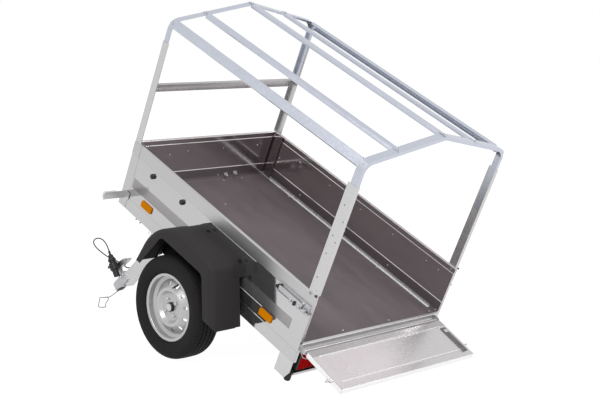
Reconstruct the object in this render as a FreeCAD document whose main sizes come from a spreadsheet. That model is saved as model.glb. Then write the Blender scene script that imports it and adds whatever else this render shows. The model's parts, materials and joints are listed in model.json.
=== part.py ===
import FreeCAD, Part
import math
import os
import Sketcher
from FreeCAD import Placement, Rotation, Vector

# A small tipping utility trailer, parked with its bed tipped back on two rubber feet,
# its tailgate lying open and its drawbar folded down with the coupling on the ground.
# Bed pieces are drawn level, x forward from the bed's rear end, y to the left and z up
# from the lower edge of the side walls, in millimetres. The bed is then tipped about y.

SIZES = {
    # bed
    "tip_angle": 23.0,
    "bed_length": 1588.0,
    "bed_width": 1080.0,
    "wall_height": 400.0,
    "wall_thick": 23.0,
    "wall_fold": 3.0,
    "wall_low_fold": 67.0,
    "wall_high_fold": 324.0,
    "inner_low_fold": 180.0,
    "inner_high_fold": 365.0,
    "corner_strip": 68.0,
    "seam_width": 2.0,
    "seam_depth": 1.0,
    "floor_top": 107.0,
    "floor_thick": 12.0,
    "floor_gap": 0.5,
    "sill_width": 16.0,
    "sill_gap": 4.0,
    # frame under the floor: the front member set back from the bed's front end, the middle one
    # ahead of the axle tube
    "member_height": 50.0,
    "member_width": 30.0,
    "member_sheet": 3.0,
    "member_front_place": 96.0,
    "member_middle_ahead": 197.0,
    "member_rear_place": 330.0,
    "axle_tube": 50.0,
    "axle_wall": 4.0,
    "axle_forward": 150.0,
    "axle_rise": 68.0,
    "axle_saddle_length": 120.0,
    "axle_saddle_thick": 5.0,
    "axle_saddle_place": 17.0,
    "arm_width": 22.0,
    "arm_end_radius": 34.0,
    "spindle_radius": 14.0,
    "spindle_gap": 3.0,
    # wheels
    "wheel_place": 758.0,
    "wheel_drop": 138.0,
    "wheel_gap": 53.5,
    "tyre_radius": 278.0,
    "tyre_width": 164.0,
    "rim_radius": 165.0,
    "rim_width": 128.0,
    "rim_flange": 17.5,
    "rim_sheet": 5.0,
    "rim_well": 18.0,
    "bead_gap": 0.3,
    "disc_inset": 33.0,
    "disc_ring_radius": 103.0,
    "disc_ring_width": 15.0,
    "disc_ring_rise": 20.0,
    "disc_seat_radius": 73.0,
    "vent_place": 126.0,
    "vent_length": 22.0,
    "vent_width": 17.0,
    "hub_radius": 45.0,
    "hub_length": 60.0,
    "hub_flange_radius": 70.0,
    "hub_flange_thick": 8.0,
    "hub_cap_radius": 27.0,
    "hub_cap_length": 6.0,
    "hub_cap_wall": 4.0,
    "hub_cap_depth": 12.0,
    "hub_end_wall": 5.0,
    "hub_hole_gap": 1.0,
    "hub_fit": 0.05,
    # fenders, as distances from the wheel's middle
    "fender_top": 421.0,
    "fender_clear": 10.5,
    "fender_skin": 5.0,
    "fender_edge_round": 32.0,
    "fender_strip": 78.0,
    "fender_strip_low": 341.0,
    "fender_step": 4.0,
    "fender_front": 327.0,
    "fender_front_low": 92.0,
    "fender_front_top": 248.0,
    "fender_front_round": 265.0,
    "fender_rear": 387.0,
    "fender_rear_low": 110.0,
    "fender_rear_top": 235.0,
    "fender_rear_round": 75.0,
    "arch_top": 338.0,
    "arch_front": 282.0,
    "arch_front_top": 169.0,
    "arch_rear": 302.0,
    "arch_rear_top": 191.0,
    "arch_round": 42.0,
    # rear end
    "corner_plate_length": 102.0,
    "corner_plate_drop": 106.0,
    "corner_plate_thick": 4.0,
    "corner_plate_cut": 45.0,
    "beam_drop": 75.0,
    "beam_sheet": 3.0,
    "beam_flange": 45.0,
    "beam_lip": 9.0,
    "foot_place": 20.0,
    "foot_side": 25.0,
    "foot_radius": 18.0,
    "foot_round": 6.0,
    "lamp_stand": 12.0,
    "lamp_height": 118.0,
    "lamp_length": 215.0,
    "lamp_depth": 38.0,
    "lamp_side": 17.0,
    "lamp_border": 12.0,
    "lamp_outer_border": 22.0,
    "lamp_recess": 3.0,
    "lamp_round": 5.0,
    # tailgate
    "gate_hinge_back": 20.0,
    "gate_hinge_height": 80.0,
    "gate_length": 299.0,
    "gate_side_gap": 2.0,
    "gate_thick": 26.0,
    "gate_sheet": 3.0,
    "gate_face_rise": 12.0,
    "gate_start": 16.0,
    "gate_droop": 6.0,
    "gate_tray_depth": 5.0,
    "gate_lip": 5.0,
    "gate_side_bevel": 58.0,
    "gate_end_bevel": 44.0,
    "gate_hinge_bevel": 52.0,
    "gate_slot_start": 62.0,
    "gate_slot_length": 186.0,
    "gate_slot_width": 26.0,
    "gate_slot_depth": 18.0,
    "gate_slot_side": 14.0,
    "gate_tube_radius": 9.0,
    "gate_pin_radius": 5.0,
    "gate_pin_length": 45.0,
    "gate_pin_fit": 0.05,
    "gate_ear_thick": 6.0,
    "gate_ear_radius": 14.0,
    "catch_place": 214.0,
    "catch_reach": 36.0,
    "catch_width": 24.0,
    "catch_thick": 8.0,
    "catch_bolt_radius": 6.0,
    # tarp frame
    "post_width": 62.0,
    "post_front_width": 50.0,
    "post_depth": 24.0,
    "post_sheet": 3.0,
    "post_top": 1014.0,
    "bow_width": 46.0,
    "bow_front_width": 38.0,
    "bow_depth": 20.0,
    "bow_sheet": 3.0,
    "bow_start": 760.0,
    "bow_eave": 1138.0,
    "bow_ridge": 1248.0,
    "bow_eave_radius": 70.0,
    "bow_ridge_radius": 60.0,
    "eave_rail_width": 52.0,
    "eave_rail_depth": 18.0,
    "rail_width": 46.0,
    "rail_top_width": 27.0,
    "rail_shoulder": 9.0,
    "rail_depth": 18.0,
    "rail_sheet": 2.5,
    "rail_tab_width": 24.0,
    "rail_end_gap": 2.0,
    "rail_mid_left": 308.0,
    "rail_mid_right": 275.0,
    "cross_bar_height": 42.0,
    "cross_bar_depth": 22.0,
    "cross_bar_top": 756.0,
    # fittings on the walls; the caps and the front reflector are set back from the front end
    "latch_start": 10.0,
    "latch_length": 244.0,
    "latch_low": 280.0,
    "latch_high": 336.0,
    "latch_plate_thick": 3.0,
    "latch_flange": 9.0,
    "latch_handle_length": 196.0,
    "latch_handle_height": 28.0,
    "latch_handle_thick": 13.0,
    "latch_handle_rise": 14.0,
    "cap_radius": 15.0,
    "cap_length": 14.0,
    "cap_round": 5.0,
    "cap_height": 293.0,
    "cap_front_place": 222.0,
    "cap_rear_place": 501.0,
    "reflector_length": 96.0,
    "reflector_height": 38.0,
    "reflector_thick": 7.0,
    "reflector_round": 6.0,
    "reflector_low": 87.0,
    "reflector_front_place": 289.0,
    "reflector_rear_place": 222.0,
    "marker_setback": 43.0,
    "marker_reach": 150.0,
    "marker_height": 45.0,
    "marker_thick": 4.0,
    "marker_foot": 34.0,
    "marker_low": 55.0,
    "marker_lens_width": 90.0,
    "marker_lens_height": 38.0,
    "marker_lens_depth": 16.0,
    "marker_lens_round": 8.0,
    # drawbar, its hinge set back from the bed's front end
    "hinge_place": 48.0,
    "hinge_drop": 48.0,
    "drawbar_width": 50.0,
    "drawbar_height": 80.0,
    "drawbar_sink": 5.0,
    "drawbar_wall": 3.0,
    "drawbar_length": 890.0,
    "drawbar_top_cut": 45.0,
    "drawbar_low_cut": 12.0,
    "drawbar_tail": 22.0,
    "hinge_cheek_thick": 6.0,
    "hinge_cheek_length": 80.0,
    "hinge_cheek_radius": 24.0,
    "hinge_pin_radius": 8.0,
    "hinge_pin_fit": 0.05,
    "hinge_side_gap": 0.5,
    "hinge_pin_head": 5.0,
    # coupling, along the drawbar from its front end
    "coupling_start": 56.0,
    "coupling_gap": 3.0,
    "coupling_end": 122.0,
    "coupling_half_width": 33.0,
    "coupling_low": 6.0,
    "coupling_neck_low": 18.0,
    "coupling_top": 49.0,
    "coupling_edge_round": 10.0,
    "coupling_nose_cut": 10.0,
    "coupling_nose_rise": 16.0,
    "socket_radius": 25.2,
    "socket_depth": 32.0,
    "lever_front": 50.0,
    "lever_rear": 124.0,
    "lever_high": 139.0,
    "lever_width": 30.0,
    "lever_hole_radius": 7.0,
    "lever_tip_round": 5.0,
    # light plug and cords
    "plug_place": 13.0,
    "plug_side": 45.0,
    "plug_lean": 10.5,
    "plug_radius": 29.0,
    "plug_length": 176.0,
    "plug_lug_reach": 62.0,
    "plug_lug_width": 14.0,
    "plug_stand": 1.1,
    "cable_radius": 3.8,
    "rope_radius": 2.5,
    # cuts run past the faces that they open
    "overrun": 5.0,
}

doc = FreeCAD.newDocument("utility_trailer")
sheet = doc.addObject("Spreadsheet::Sheet", "sizes")
for row, (alias, number) in enumerate(SIZES.items(), start=1):
    sheet.set(f"A{row}", alias)
    sheet.set(f"B{row}", str(number))
    sheet.setAlias(f"B{row}", alias)
doc.recompute()


class Size:
    """A number together with the sheet formula that gives it."""

    def __init__(self, value, formula):
        self.value = value
        self.formula = formula

    def __add__(self, other):
        return joined(self, "+", other)

    def __radd__(self, other):
        return joined(other, "+", self)

    def __sub__(self, other):
        return joined(self, "-", other)

    def __rsub__(self, other):
        return joined(other, "-", self)

    def __mul__(self, other):
        return joined(self, "*", other)

    def __rmul__(self, other):
        return joined(other, "*", self)

    def __truediv__(self, other):
        return joined(self, "/", other)

    def __neg__(self):
        return joined(0, "-", self)


def as_size(number):
    return number if isinstance(number, Size) else Size(float(number), str(number))


def joined(first, sign, second):
    first = as_size(first)
    second = as_size(second)
    values = {
        "+": first.value + second.value,
        "-": first.value - second.value,
        "*": first.value * second.value,
        "/": first.value / second.value if second.value else 0,
    }
    return Size(values[sign], f"({first.formula} {sign} {second.formula})")


def sine(angle):
    return Size(math.sin(math.radians(angle.value)), f"sin({angle.formula} * 1 deg)")


def cosine(angle):
    return Size(math.cos(math.radians(angle.value)), f"cos({angle.formula} * 1 deg)")


class Sheet:
    """Every named size as an attribute."""


s = Sheet()
for alias, number in SIZES.items():
    setattr(s, alias, Size(number, f"sizes.{alias}"))

# Edges are told apart by where they lie, to this many millimetres.
SAME_PLACE = 0.01
LEFT = 1
RIGHT = -1
SIDES = {"left": LEFT, "right": RIGHT}


def bind(thing, path, size):
    """Ties one property to the sheet."""
    thing.setExpression(path, as_size(size).formula)


def new_body(name):
    body = doc.addObject("PartDesign::Body", name)
    body.AllowCompound = True
    return body


def new_sketch(body, plane, lift=0):
    """A sketch on one of the body's own origin planes, lifted along its normal."""
    sketch = body.newObject("Sketcher::SketchObject", "sketch")
    for feature in body.Origin.OriginFeatures:
        if feature.Role == plane:
            sketch.AttachmentSupport = [(feature, "")]
    sketch.MapMode = "FlatFace"
    bind(sketch, "AttachmentOffset.Base.z", lift)
    return sketch


def pin_point(sketch, item, end, across, up):
    """Fixes a point of the sketch by its two coordinates."""
    for kind, size in (("DistanceX", across), ("DistanceY", up)):
        number = sketch.addConstraint(Sketcher.Constraint(kind, item, end, as_size(size).value))
        bind(sketch, f"Constraints[{number}]", size)


def draw_circle(sketch, across, up, radius):
    centre = Vector(as_size(across).value, as_size(up).value, 0)
    item = sketch.addGeometry(Part.Circle(centre, Vector(0, 0, 1), as_size(radius).value))
    pin_point(sketch, item, 3, across, up)
    number = sketch.addConstraint(Sketcher.Constraint("Radius", item, as_size(radius).value))
    bind(sketch, f"Constraints[{number}]", radius)


def corner_arc(before, corner, after, radius):
    """Tangent points, centre and turning sense of the arc that rounds a corner."""
    inward = (before - corner).normalize()
    outward = (after - corner).normalize()
    half = inward.getAngle(outward) / 2
    reach = radius / math.tan(half)
    middle = (inward + outward).normalize()
    centre = corner + middle * (radius / math.sin(half))
    turn = (corner - before).cross(after - corner).z
    return corner + inward * reach, corner + outward * reach, centre, turn


def draw_path(sketch, corners, closed=True):
    """Straight runs through the corners; a corner's third value is the radius that rounds it."""
    points = [Vector(as_size(c[0]).value, as_size(c[1]).value, 0) for c in corners]
    count = len(corners)
    arcs = {}
    starts = list(points)
    ends = list(points)
    for index, corner in enumerate(corners):
        if len(corner) < 3:
            continue
        before = points[index - 1]
        after = points[(index + 1) % count]
        first, last, centre, turn = corner_arc(before, points[index], after, as_size(corner[2]).value)
        ends[index] = first
        starts[index] = last
        arcs[index] = (centre, turn)
    runs = count if closed else count - 1
    lines = []
    for index in range(runs):
        line = Part.LineSegment(starts[index], ends[(index + 1) % count])
        lines.append(sketch.addGeometry(line))
    for index, corner in enumerate(corners):
        if index in arcs:
            round_corner(sketch, corner, lines[index - 1], lines[index], arcs[index],
                         ends[index], starts[index])
        elif closed or 0 < index < count - 1:
            sketch.addConstraint(Sketcher.Constraint("Coincident", lines[index - 1], 2, lines[index], 1))
            pin_point(sketch, lines[index], 1, corner[0], corner[1])
        elif index == 0:
            pin_point(sketch, lines[0], 1, corner[0], corner[1])
        else:
            pin_point(sketch, lines[-1], 2, corner[0], corner[1])


def round_corner(sketch, corner, line_in, line_out, arc_data, first, last):
    """An arc tangent to both runs, its own corner kept as a point."""
    centre, turn = arc_data
    radius = as_size(corner[2]).value
    start, end = (first, last) if turn > 0 else (last, first)
    start_angle = math.atan2(start.y - centre.y, start.x - centre.x)
    end_angle = math.atan2(end.y - centre.y, end.x - centre.x)
    circle = Part.Circle(centre, Vector(0, 0, 1), radius)
    arc = sketch.addGeometry(Part.ArcOfCircle(circle, start_angle, end_angle))
    end_in, end_out = (1, 2) if turn > 0 else (2, 1)
    sketch.addConstraint(Sketcher.Constraint("Tangent", line_in, 2, arc, end_in))
    sketch.addConstraint(Sketcher.Constraint("Tangent", line_out, 1, arc, end_out))
    number = sketch.addConstraint(Sketcher.Constraint("Radius", arc, radius))
    bind(sketch, f"Constraints[{number}]", corner[2])
    point = Vector(as_size(corner[0]).value, as_size(corner[1]).value, 0)
    mark = sketch.addGeometry(Part.Point(point), True)
    sketch.addConstraint(Sketcher.Constraint("PointOnObject", mark, 1, line_in))
    sketch.addConstraint(Sketcher.Constraint("PointOnObject", mark, 1, line_out))
    pin_point(sketch, mark, 1, corner[0], corner[1])


def lift_and_sense(plane, start):
    """XZ_Plane faces along -y, so its lift and its pads run the other way."""
    if plane == "XZ_Plane":
        return -as_size(start), True
    return as_size(start), False


def pad(body, plane, start, length, outline=None, holes=(), circles=()):
    """Pads an outline on an origin plane from start by length along the plane's axis."""
    lift, reverse = lift_and_sense(plane, start)
    sketch = new_sketch(body, plane, lift)
    if outline:
        draw_path(sketch, outline)
    for hole in holes:
        draw_path(sketch, hole)
    for circle in circles:
        draw_circle(sketch, *circle)
    feature = body.newObject("PartDesign::Pad", "pad")
    feature.Profile = sketch
    feature.Reversed = reverse
    bind(feature, "Length", length)
    return feature


def pocket(body, plane, start, length, outline=None, circles=()):
    """Cuts an outline out of the body from start by length along the plane's axis."""
    lift, reverse = lift_and_sense(plane, start)
    sketch = new_sketch(body, plane, lift)
    if outline:
        draw_path(sketch, outline)
    for circle in circles:
        draw_circle(sketch, *circle)
    feature = body.newObject("PartDesign::Pocket", "pocket")
    feature.Profile = sketch
    feature.Reversed = not reverse
    bind(feature, "Length", length)
    return feature


def turned(body, outline):
    """Revolves an outline, drawn as radius and place along y, about the y axis."""
    sketch = new_sketch(body, "XY_Plane")
    draw_path(sketch, outline)
    feature = body.newObject("PartDesign::Revolution", "turned")
    feature.Profile = sketch
    for origin_feature in body.Origin.OriginFeatures:
        if origin_feature.Role == "Y_Axis":
            feature.ReferenceAxis = (origin_feature, [""])
    feature.Angle = 360
    return feature


def box(left, right, low, high):
    """Corners of an upright rectangle."""
    return [(left, low), (right, low), (right, high), (left, high)]


def across(side, near, far):
    """Start and length of a stretch of y, given from the middle outwards."""
    start = near if side == LEFT else -as_size(far)
    return start, far - near


parts = {}


def keep(thing, name, frame):
    """Files a finished piece under its node's name and puts it in its place."""
    thing.Label = name
    thing.Placement = frame
    parts[name] = thing
    return thing


def keep_group(bodies, name, frame):
    """Files like pieces that don't touch as one node."""
    group = doc.addObject("Part::Compound", name)
    group.Links = bodies
    return keep(group, name, frame)


# Places that many pieces share

END_ROUND_SHARE = 0.9
RIM_ROUND_SHARE = 0.47

half_width = s.bed_width / 2
inner_half = half_width - s.wall_thick
floor_low = s.floor_top - s.floor_thick
rim_round = (s.wall_thick - 2 * s.wall_fold) * RIM_ROUND_SHARE
hinge_x = s.bed_length - s.hinge_place
hinge_height = -s.hinge_drop
lamp_low = s.beam_sheet + s.lamp_stand - s.beam_drop
track_half = half_width + s.wheel_gap + s.tyre_width / 2
fender_face = track_half + s.tyre_width / 2 + s.fender_clear

sin_tip = sine(s.tip_angle)
cos_tip = cosine(s.tip_angle)
# The wheels stand on the ground, which sets how far the bed's origin is lifted.
bed_lift = s.tyre_radius - s.wheel_place * sin_tip + s.wheel_drop * cos_tip
# The rounded rear edge of each foot touches the ground too.
foot_edge = s.foot_place - s.foot_radius + s.foot_round
foot_bottom = (s.foot_round - bed_lift - foot_edge * sin_tip) / cos_tip - s.foot_round

bed = Placement(Vector(0, 0, bed_lift.value), Rotation(Vector(0, 1, 0), -s.tip_angle.value))


def frame_at(x, y, z, turn=0):
    """A frame inside the bed, moved and then turned nose down about y."""
    local = Placement(Vector(x, y, z), Rotation(Vector(0, 1, 0), turn))
    return bed.multiply(local)


# Walls and floor

def wall_section(side):
    """The folded wall seen from behind, as across and up pairs."""
    out = half_width
    low = s.wall_low_fold
    high = s.wall_high_fold
    fold = s.wall_fold
    corners = [
        (out, 0),
        (out, low),
        (out - fold, low + fold),
        (out - fold, high - fold),
        (out, high),
        (out, s.wall_height, rim_round),
        (inner_half + 2 * fold, s.wall_height, rim_round),
        (inner_half + 2 * fold, s.inner_high_fold + fold),
        (inner_half + fold, s.inner_high_fold),
        (inner_half + fold, s.inner_low_fold + fold),
        (inner_half, s.inner_low_fold),
        (inner_half, 0),
    ]
    return [(side * c[0],) + c[1:] for c in corners]


def side_wall(name, side):
    """The folded wall, with the seam where the front corner strip begins."""
    body = new_body(name)
    pad(body, "YZ_Plane", 0, s.bed_length, wall_section(side))
    seam = s.bed_length - s.corner_strip
    start, length = across(side, half_width - s.wall_fold - s.seam_depth, half_width)
    pocket(body, "XZ_Plane", start, length, box(seam, seam + s.seam_width, 0, s.wall_height))
    keep(body, name, bed)


def front_wall():
    body = new_body("front_wall")
    out = s.bed_length
    inner = out - s.wall_thick
    low = s.wall_low_fold
    high = s.wall_high_fold
    fold = s.wall_fold
    section = [
        (out, 0),
        (out, low),
        (out - fold, low + fold),
        (out - fold, high - fold),
        (out, high),
        (out, s.wall_height, rim_round),
        (inner + 2 * fold, s.wall_height, rim_round),
        (inner + 2 * fold, s.inner_high_fold + fold),
        (inner + fold, s.inner_high_fold),
        (inner + fold, s.inner_low_fold + fold),
        (inner, s.inner_low_fold),
        (inner, 0),
    ]
    pad(body, "XZ_Plane", -inner_half, 2 * inner_half, section)
    keep(body, "front_wall", bed)


def floor_panel():
    body = new_body("floor_panel")
    side = inner_half - s.floor_gap
    outline = box(s.sill_width + s.floor_gap, s.bed_length - s.wall_thick - s.floor_gap, -side, side)
    pad(body, "XY_Plane", floor_low, s.floor_thick, outline)
    keep(body, "floor_panel", bed)


def rear_sill():
    """The folded edge that closes the floor over the tailgate's hinge."""
    body = new_body("rear_sill")
    low = lamp_low + s.lamp_height + s.sill_gap
    outline = [
        (0, low),
        (s.sill_width, low),
        (s.sill_width, s.floor_top),
        (0, s.floor_top, s.beam_sheet),
    ]
    pad(body, "XZ_Plane", -inner_half, 2 * inner_half, outline)
    keep(body, "rear_sill", bed)


for side_name, side in SIDES.items():
    side_wall(f"side_wall_{side_name}", side)
front_wall()
floor_panel()
rear_sill()


# Frame under the floor

def channel(body, place):
    """A cross member: an open channel with its web at the rear and flanges forward."""
    low = floor_low - s.member_height
    sheet_thick = s.member_sheet
    outline = [
        (place, low),
        (place + s.member_width, low),
        (place + s.member_width, low + sheet_thick),
        (place + sheet_thick, low + sheet_thick),
        (place + sheet_thick, floor_low - sheet_thick),
        (place + s.member_width, floor_low - sheet_thick),
        (place + s.member_width, floor_low),
        (place, floor_low),
    ]
    pad(body, "XZ_Plane", -inner_half, 2 * inner_half, outline)


axle_place = s.wheel_place + s.axle_forward


def cross_members():
    bodies = []
    middle = axle_place + s.axle_tube / 2 + s.member_middle_ahead
    front = s.bed_length - s.member_front_place
    for place in (s.member_rear_place, middle, front):
        body = new_body("cross_member")
        channel(body, place)
        bodies.append(body)
    keep_group(bodies, "cross_members", bed)


axle_height = s.axle_rise - s.wheel_drop
axle_top = axle_height + s.axle_tube / 2
axle_half_length = half_width - s.wall_thick / 2


def axle_tube():
    body = new_body("axle_tube")
    half = s.axle_tube / 2
    hollow = half - s.axle_wall
    outer = box(axle_place - half, axle_place + half, axle_height - half, axle_height + half)
    inner = box(axle_place - hollow, axle_place + hollow, axle_height - hollow, axle_height + hollow)
    pad(body, "XZ_Plane", -axle_half_length, 2 * axle_half_length, outer, holes=[inner])
    keep(body, "axle_tube", bed)


def axle_saddles():
    """Two upright plates that carry the floor frame on the axle tube."""
    bodies = []
    far = inner_half - s.axle_saddle_place
    for side in (LEFT, RIGHT):
        body = new_body("axle_saddle")
        start, length = across(side, far - s.axle_saddle_length, far)
        outline = box(axle_place - s.axle_tube / 2, axle_place + s.axle_tube / 2, axle_top, floor_low)
        hollow = box(axle_place - s.axle_tube / 2 + s.axle_saddle_thick,
                     axle_place + s.axle_tube / 2 - s.axle_saddle_thick,
                     axle_top + s.axle_saddle_thick, floor_low - s.axle_saddle_thick)
        pad(body, "XZ_Plane", start, length, outline, holes=[hollow])
        bodies.append(body)
    keep_group(bodies, "axle_saddles", bed)


# Along the wheel's axis, from the tyre's middle outwards
disc_face = s.disc_inset + s.rim_sheet
cap_end = s.disc_inset + s.hub_cap_length
cap_floor = cap_end - s.hub_cap_depth
bore_end = cap_floor - s.hub_end_wall


def swing_arm(name, side):
    """The trailing arm between the axle tube and the wheel's spindle."""
    body = new_body(name)
    near = axle_half_length
    start, length = across(side, near, near + s.arm_width)
    reach = s.arm_end_radius
    rounding = reach * END_ROUND_SHARE
    outline = [
        (s.wheel_place - reach, -s.wheel_drop - reach, rounding),
        (axle_place + reach, axle_height - reach, rounding),
        (axle_place + reach, axle_height + reach, rounding),
        (s.wheel_place - reach, -s.wheel_drop + reach, rounding),
    ]
    pad(body, "XZ_Plane", start, length, outline)
    start, length = across(side, near + s.arm_width, track_half + bore_end - s.spindle_gap)
    pad(body, "XZ_Plane", start, length, circles=[(s.wheel_place, -s.wheel_drop, s.spindle_radius)])
    keep(body, name, bed)


cross_members()
axle_tube()
axle_saddles()
for side_name, side in SIDES.items():
    swing_arm(f"swing_arm_{side_name}", side)


# Wheels, drawn about the y axis from the middle of the tyre outwards

def wheel_frame(side):
    return frame_at(s.wheel_place.value, side * track_half.value, -s.wheel_drop.value)


# The tyre's side from the rim out: shares of its height, of its half width, and of its rounding.
TYRE_SHARES = [(0.2, 0.86, 0.1), (0.5, 1, 0.5), (0.86, 0.95, 0.2), (1, 0.64, 0.35)]
# Half widths of the rim's well at its edge and at its floor.
WELL_EDGE_SHARE = 0.4
WELL_FLOOR_SHARE = 0.25
VENT_COUNT = 12


def tyre(name, side):
    body = new_body(name)
    half = s.tyre_width / 2
    bead = s.rim_width / 2 - s.rim_sheet - s.bead_gap
    inner = s.rim_radius + s.rim_sheet
    height = s.tyre_radius - inner
    lip = s.rim_radius + s.rim_flange + s.bead_gap
    flank = [(inner + height * rise, half * wide, half * rounding)
             for rise, wide, rounding in TYRE_SHARES]
    section = [(inner, -bead), (lip, -bead)]
    section += [(corner[0], -corner[1], corner[2]) for corner in flank]
    section += flank[::-1]
    section += [(lip, bead), (inner, bead)]
    turned(body, section)
    keep(body, name, wheel_frame(side))


def axis_of(body, role):
    """One of a body's own origin axes, as a link for a feature."""
    for feature in body.Origin.OriginFeatures:
        if feature.Role == role:
            return (feature, [""])


def rim(name, side):
    """The pressed rim and its dished disc, with a ring of vents in the disc's cone."""
    body = new_body(name)
    half = s.rim_width / 2
    skin = s.rim_sheet
    seat = s.rim_radius + skin
    well = s.rim_radius - s.rim_well
    disc = s.disc_inset
    lip = s.rim_radius + s.rim_flange
    edge = half * WELL_EDGE_SHARE
    floor = half * WELL_FLOOR_SHARE
    ring = disc + s.disc_ring_rise
    ring_inner = s.disc_ring_radius - s.disc_ring_width
    hole = s.hub_cap_radius + s.hub_hole_gap
    section = [
        (seat, -half + skin),
        (seat, -edge),
        (well + skin, -floor),
        (well + skin, floor),
        (seat, edge),
        (seat, half - skin),
        (lip, half - skin),
        (lip, half, skin / 2),
        (s.rim_radius, half, skin),
        (s.rim_radius, edge + skin),
        (well, floor + skin),
        (s.disc_ring_radius, ring + skin, s.disc_ring_width / 2),
        (ring_inner, ring + skin, s.disc_ring_width / 2),
        (s.disc_seat_radius, disc_face, s.disc_ring_width / 2),
        (hole, disc_face),
        (hole, disc),
        (s.disc_seat_radius, disc, s.disc_ring_width / 2),
        (ring_inner, ring, s.disc_ring_width / 2),
        (s.disc_ring_radius, ring, s.disc_ring_width / 2),
        (well, floor),
        (well, -floor),
        (s.rim_radius, -edge),
        (s.rim_radius, -half),
        (lip, -half),
        (lip, -half + skin),
    ]
    turned(body, [(corner[0], side * corner[1]) + corner[2:] for corner in section])
    near = s.vent_place - s.vent_length / 2
    far = s.vent_place + s.vent_length / 2
    rounding = s.vent_width / 2 * END_ROUND_SHARE
    wide = s.vent_width / 2
    vent = [(near, -wide, rounding), (far, -wide, rounding), (far, wide, rounding), (near, wide, rounding)]
    start, length = across(side, floor + skin / 2, ring + skin)
    cut = pocket(body, "XZ_Plane", start, length, vent)
    doc.recompute()
    pattern = body.newObject("PartDesign::PolarPattern", "vents")
    pattern.Originals = [cut]
    pattern.Axis = axis_of(body, "Y_Axis")
    pattern.Angle = 360
    pattern.Occurrences = VENT_COUNT
    body.Tip = pattern
    keep(body, name, wheel_frame(side))


def hub(name, side):
    """The hub that turns on the spindle, its open spigot centring the wheel's disc."""
    body = new_body(name)
    disc = s.disc_inset
    inner = disc - s.hub_length
    bore = s.spindle_radius + s.hub_fit
    mouth = s.hub_cap_radius - s.hub_cap_wall
    section = [
        (bore, inner),
        (s.hub_radius, inner),
        (s.hub_radius, disc - s.hub_flange_thick),
        (s.hub_flange_radius, disc - s.hub_flange_thick),
        (s.hub_flange_radius, disc),
        (s.hub_cap_radius, disc),
        (s.hub_cap_radius, cap_end),
        (mouth, cap_end),
        (mouth, cap_floor),
        (0, cap_floor),
        (0, bore_end),
        (bore, bore_end),
    ]
    turned(body, [(c[0], side * c[1]) for c in section])
    keep(body, name, wheel_frame(side))


for side_name, side in SIDES.items():
    tyre(f"tyre_{side_name}", side)
    rim(f"wheel_rim_{side_name}", side)
    hub(f"wheel_hub_{side_name}", side)


# Fenders

def fender_outline(inset):
    """The fender's outline from the side, drawn in by an inset and open below."""
    middle = s.wheel_place
    centre = -s.wheel_drop
    return [
        (middle + s.fender_front - inset, centre + s.fender_front_low - inset),
        (middle + s.fender_front_top - inset, centre + s.fender_top - inset, s.fender_front_round - inset),
        (middle - s.fender_rear_top + inset, centre + s.fender_top - inset, s.fender_rear_round - inset),
        (middle - s.fender_rear + inset, centre + s.fender_rear_low - inset),
    ]


def arch_outline():
    """The opening over the wheel, run past the fender's tips."""
    middle = s.wheel_place
    centre = -s.wheel_drop
    past = centre + s.fender_front_low - s.overrun
    return [
        (middle + s.arch_front, past),
        (middle + s.arch_front, centre + s.fender_front_low),
        (middle + s.arch_front_top, centre + s.arch_top, s.arch_round),
        (middle - s.arch_rear_top, centre + s.arch_top, s.arch_round),
        (middle - s.arch_rear, centre + s.fender_rear_low),
        (middle - s.arch_rear, past),
    ]


def round_outer_edge(body, face, radius):
    """Rounds the fender's outer edge, all but its bottom."""
    doc.recompute()
    lowest = s.fender_front_low.value - s.wheel_drop.value
    names = []
    for number, edge in enumerate(body.Shape.Edges, start=1):
        ends = [vertex.Point.y for vertex in edge.Vertexes]
        on_face = all(abs(abs(place) - face.value) < SAME_PLACE for place in ends)
        if on_face and edge.CenterOfMass.z > lowest:
            names.append(f"Edge{number}")
    form = body.Tip
    rounding = body.newObject("PartDesign::Fillet", "outer_edge")
    rounding.Base = (form, names)
    bind(rounding, "Radius", radius)


def fender(name, side):
    """A moulded shell, open towards the wall, that a strip along its top joins to the wall."""
    near = half_width - s.wall_fold
    strip = near + s.fender_strip
    skin = s.fender_skin
    outer = new_body("fender_form")
    start, length = across(side, near, strip)
    pad(outer, "XZ_Plane", start, length, fender_outline(s.fender_step))
    start, length = across(side, strip, fender_face)
    pad(outer, "XZ_Plane", start, length, fender_outline(as_size(0)))
    round_outer_edge(outer, fender_face, s.fender_edge_round)
    space = new_body("fender_space")
    start, length = across(side, strip + skin, fender_face - skin)
    pad(space, "XZ_Plane", start, length, fender_outline(skin))
    round_outer_edge(space, fender_face - skin, s.fender_edge_round - skin)
    start, length = across(side, near - s.overrun, strip + skin)
    pad(space, "XZ_Plane", start, length, fender_outline(s.fender_step + skin))
    start, length = across(side, fender_face - s.fender_edge_round, fender_face + s.overrun)
    pad(space, "XZ_Plane", start, length, arch_outline())
    start, length = across(side, near - s.overrun, strip)
    low = s.fender_front_low - s.wheel_drop - s.overrun
    outline = box(s.wheel_place - s.fender_rear - s.overrun, s.wheel_place + s.fender_front + s.overrun,
                  low, s.fender_strip_low - s.wheel_drop)
    pad(space, "XZ_Plane", start, length, outline)
    shell = doc.addObject("Part::Cut", name)
    shell.Base = outer
    shell.Tool = space
    keep(shell, name, bed)


for side_name, side in SIDES.items():
    fender(f"fender_{side_name}", side)


# Rear end: corner plates, lamp beam, lamps and feet

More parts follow.
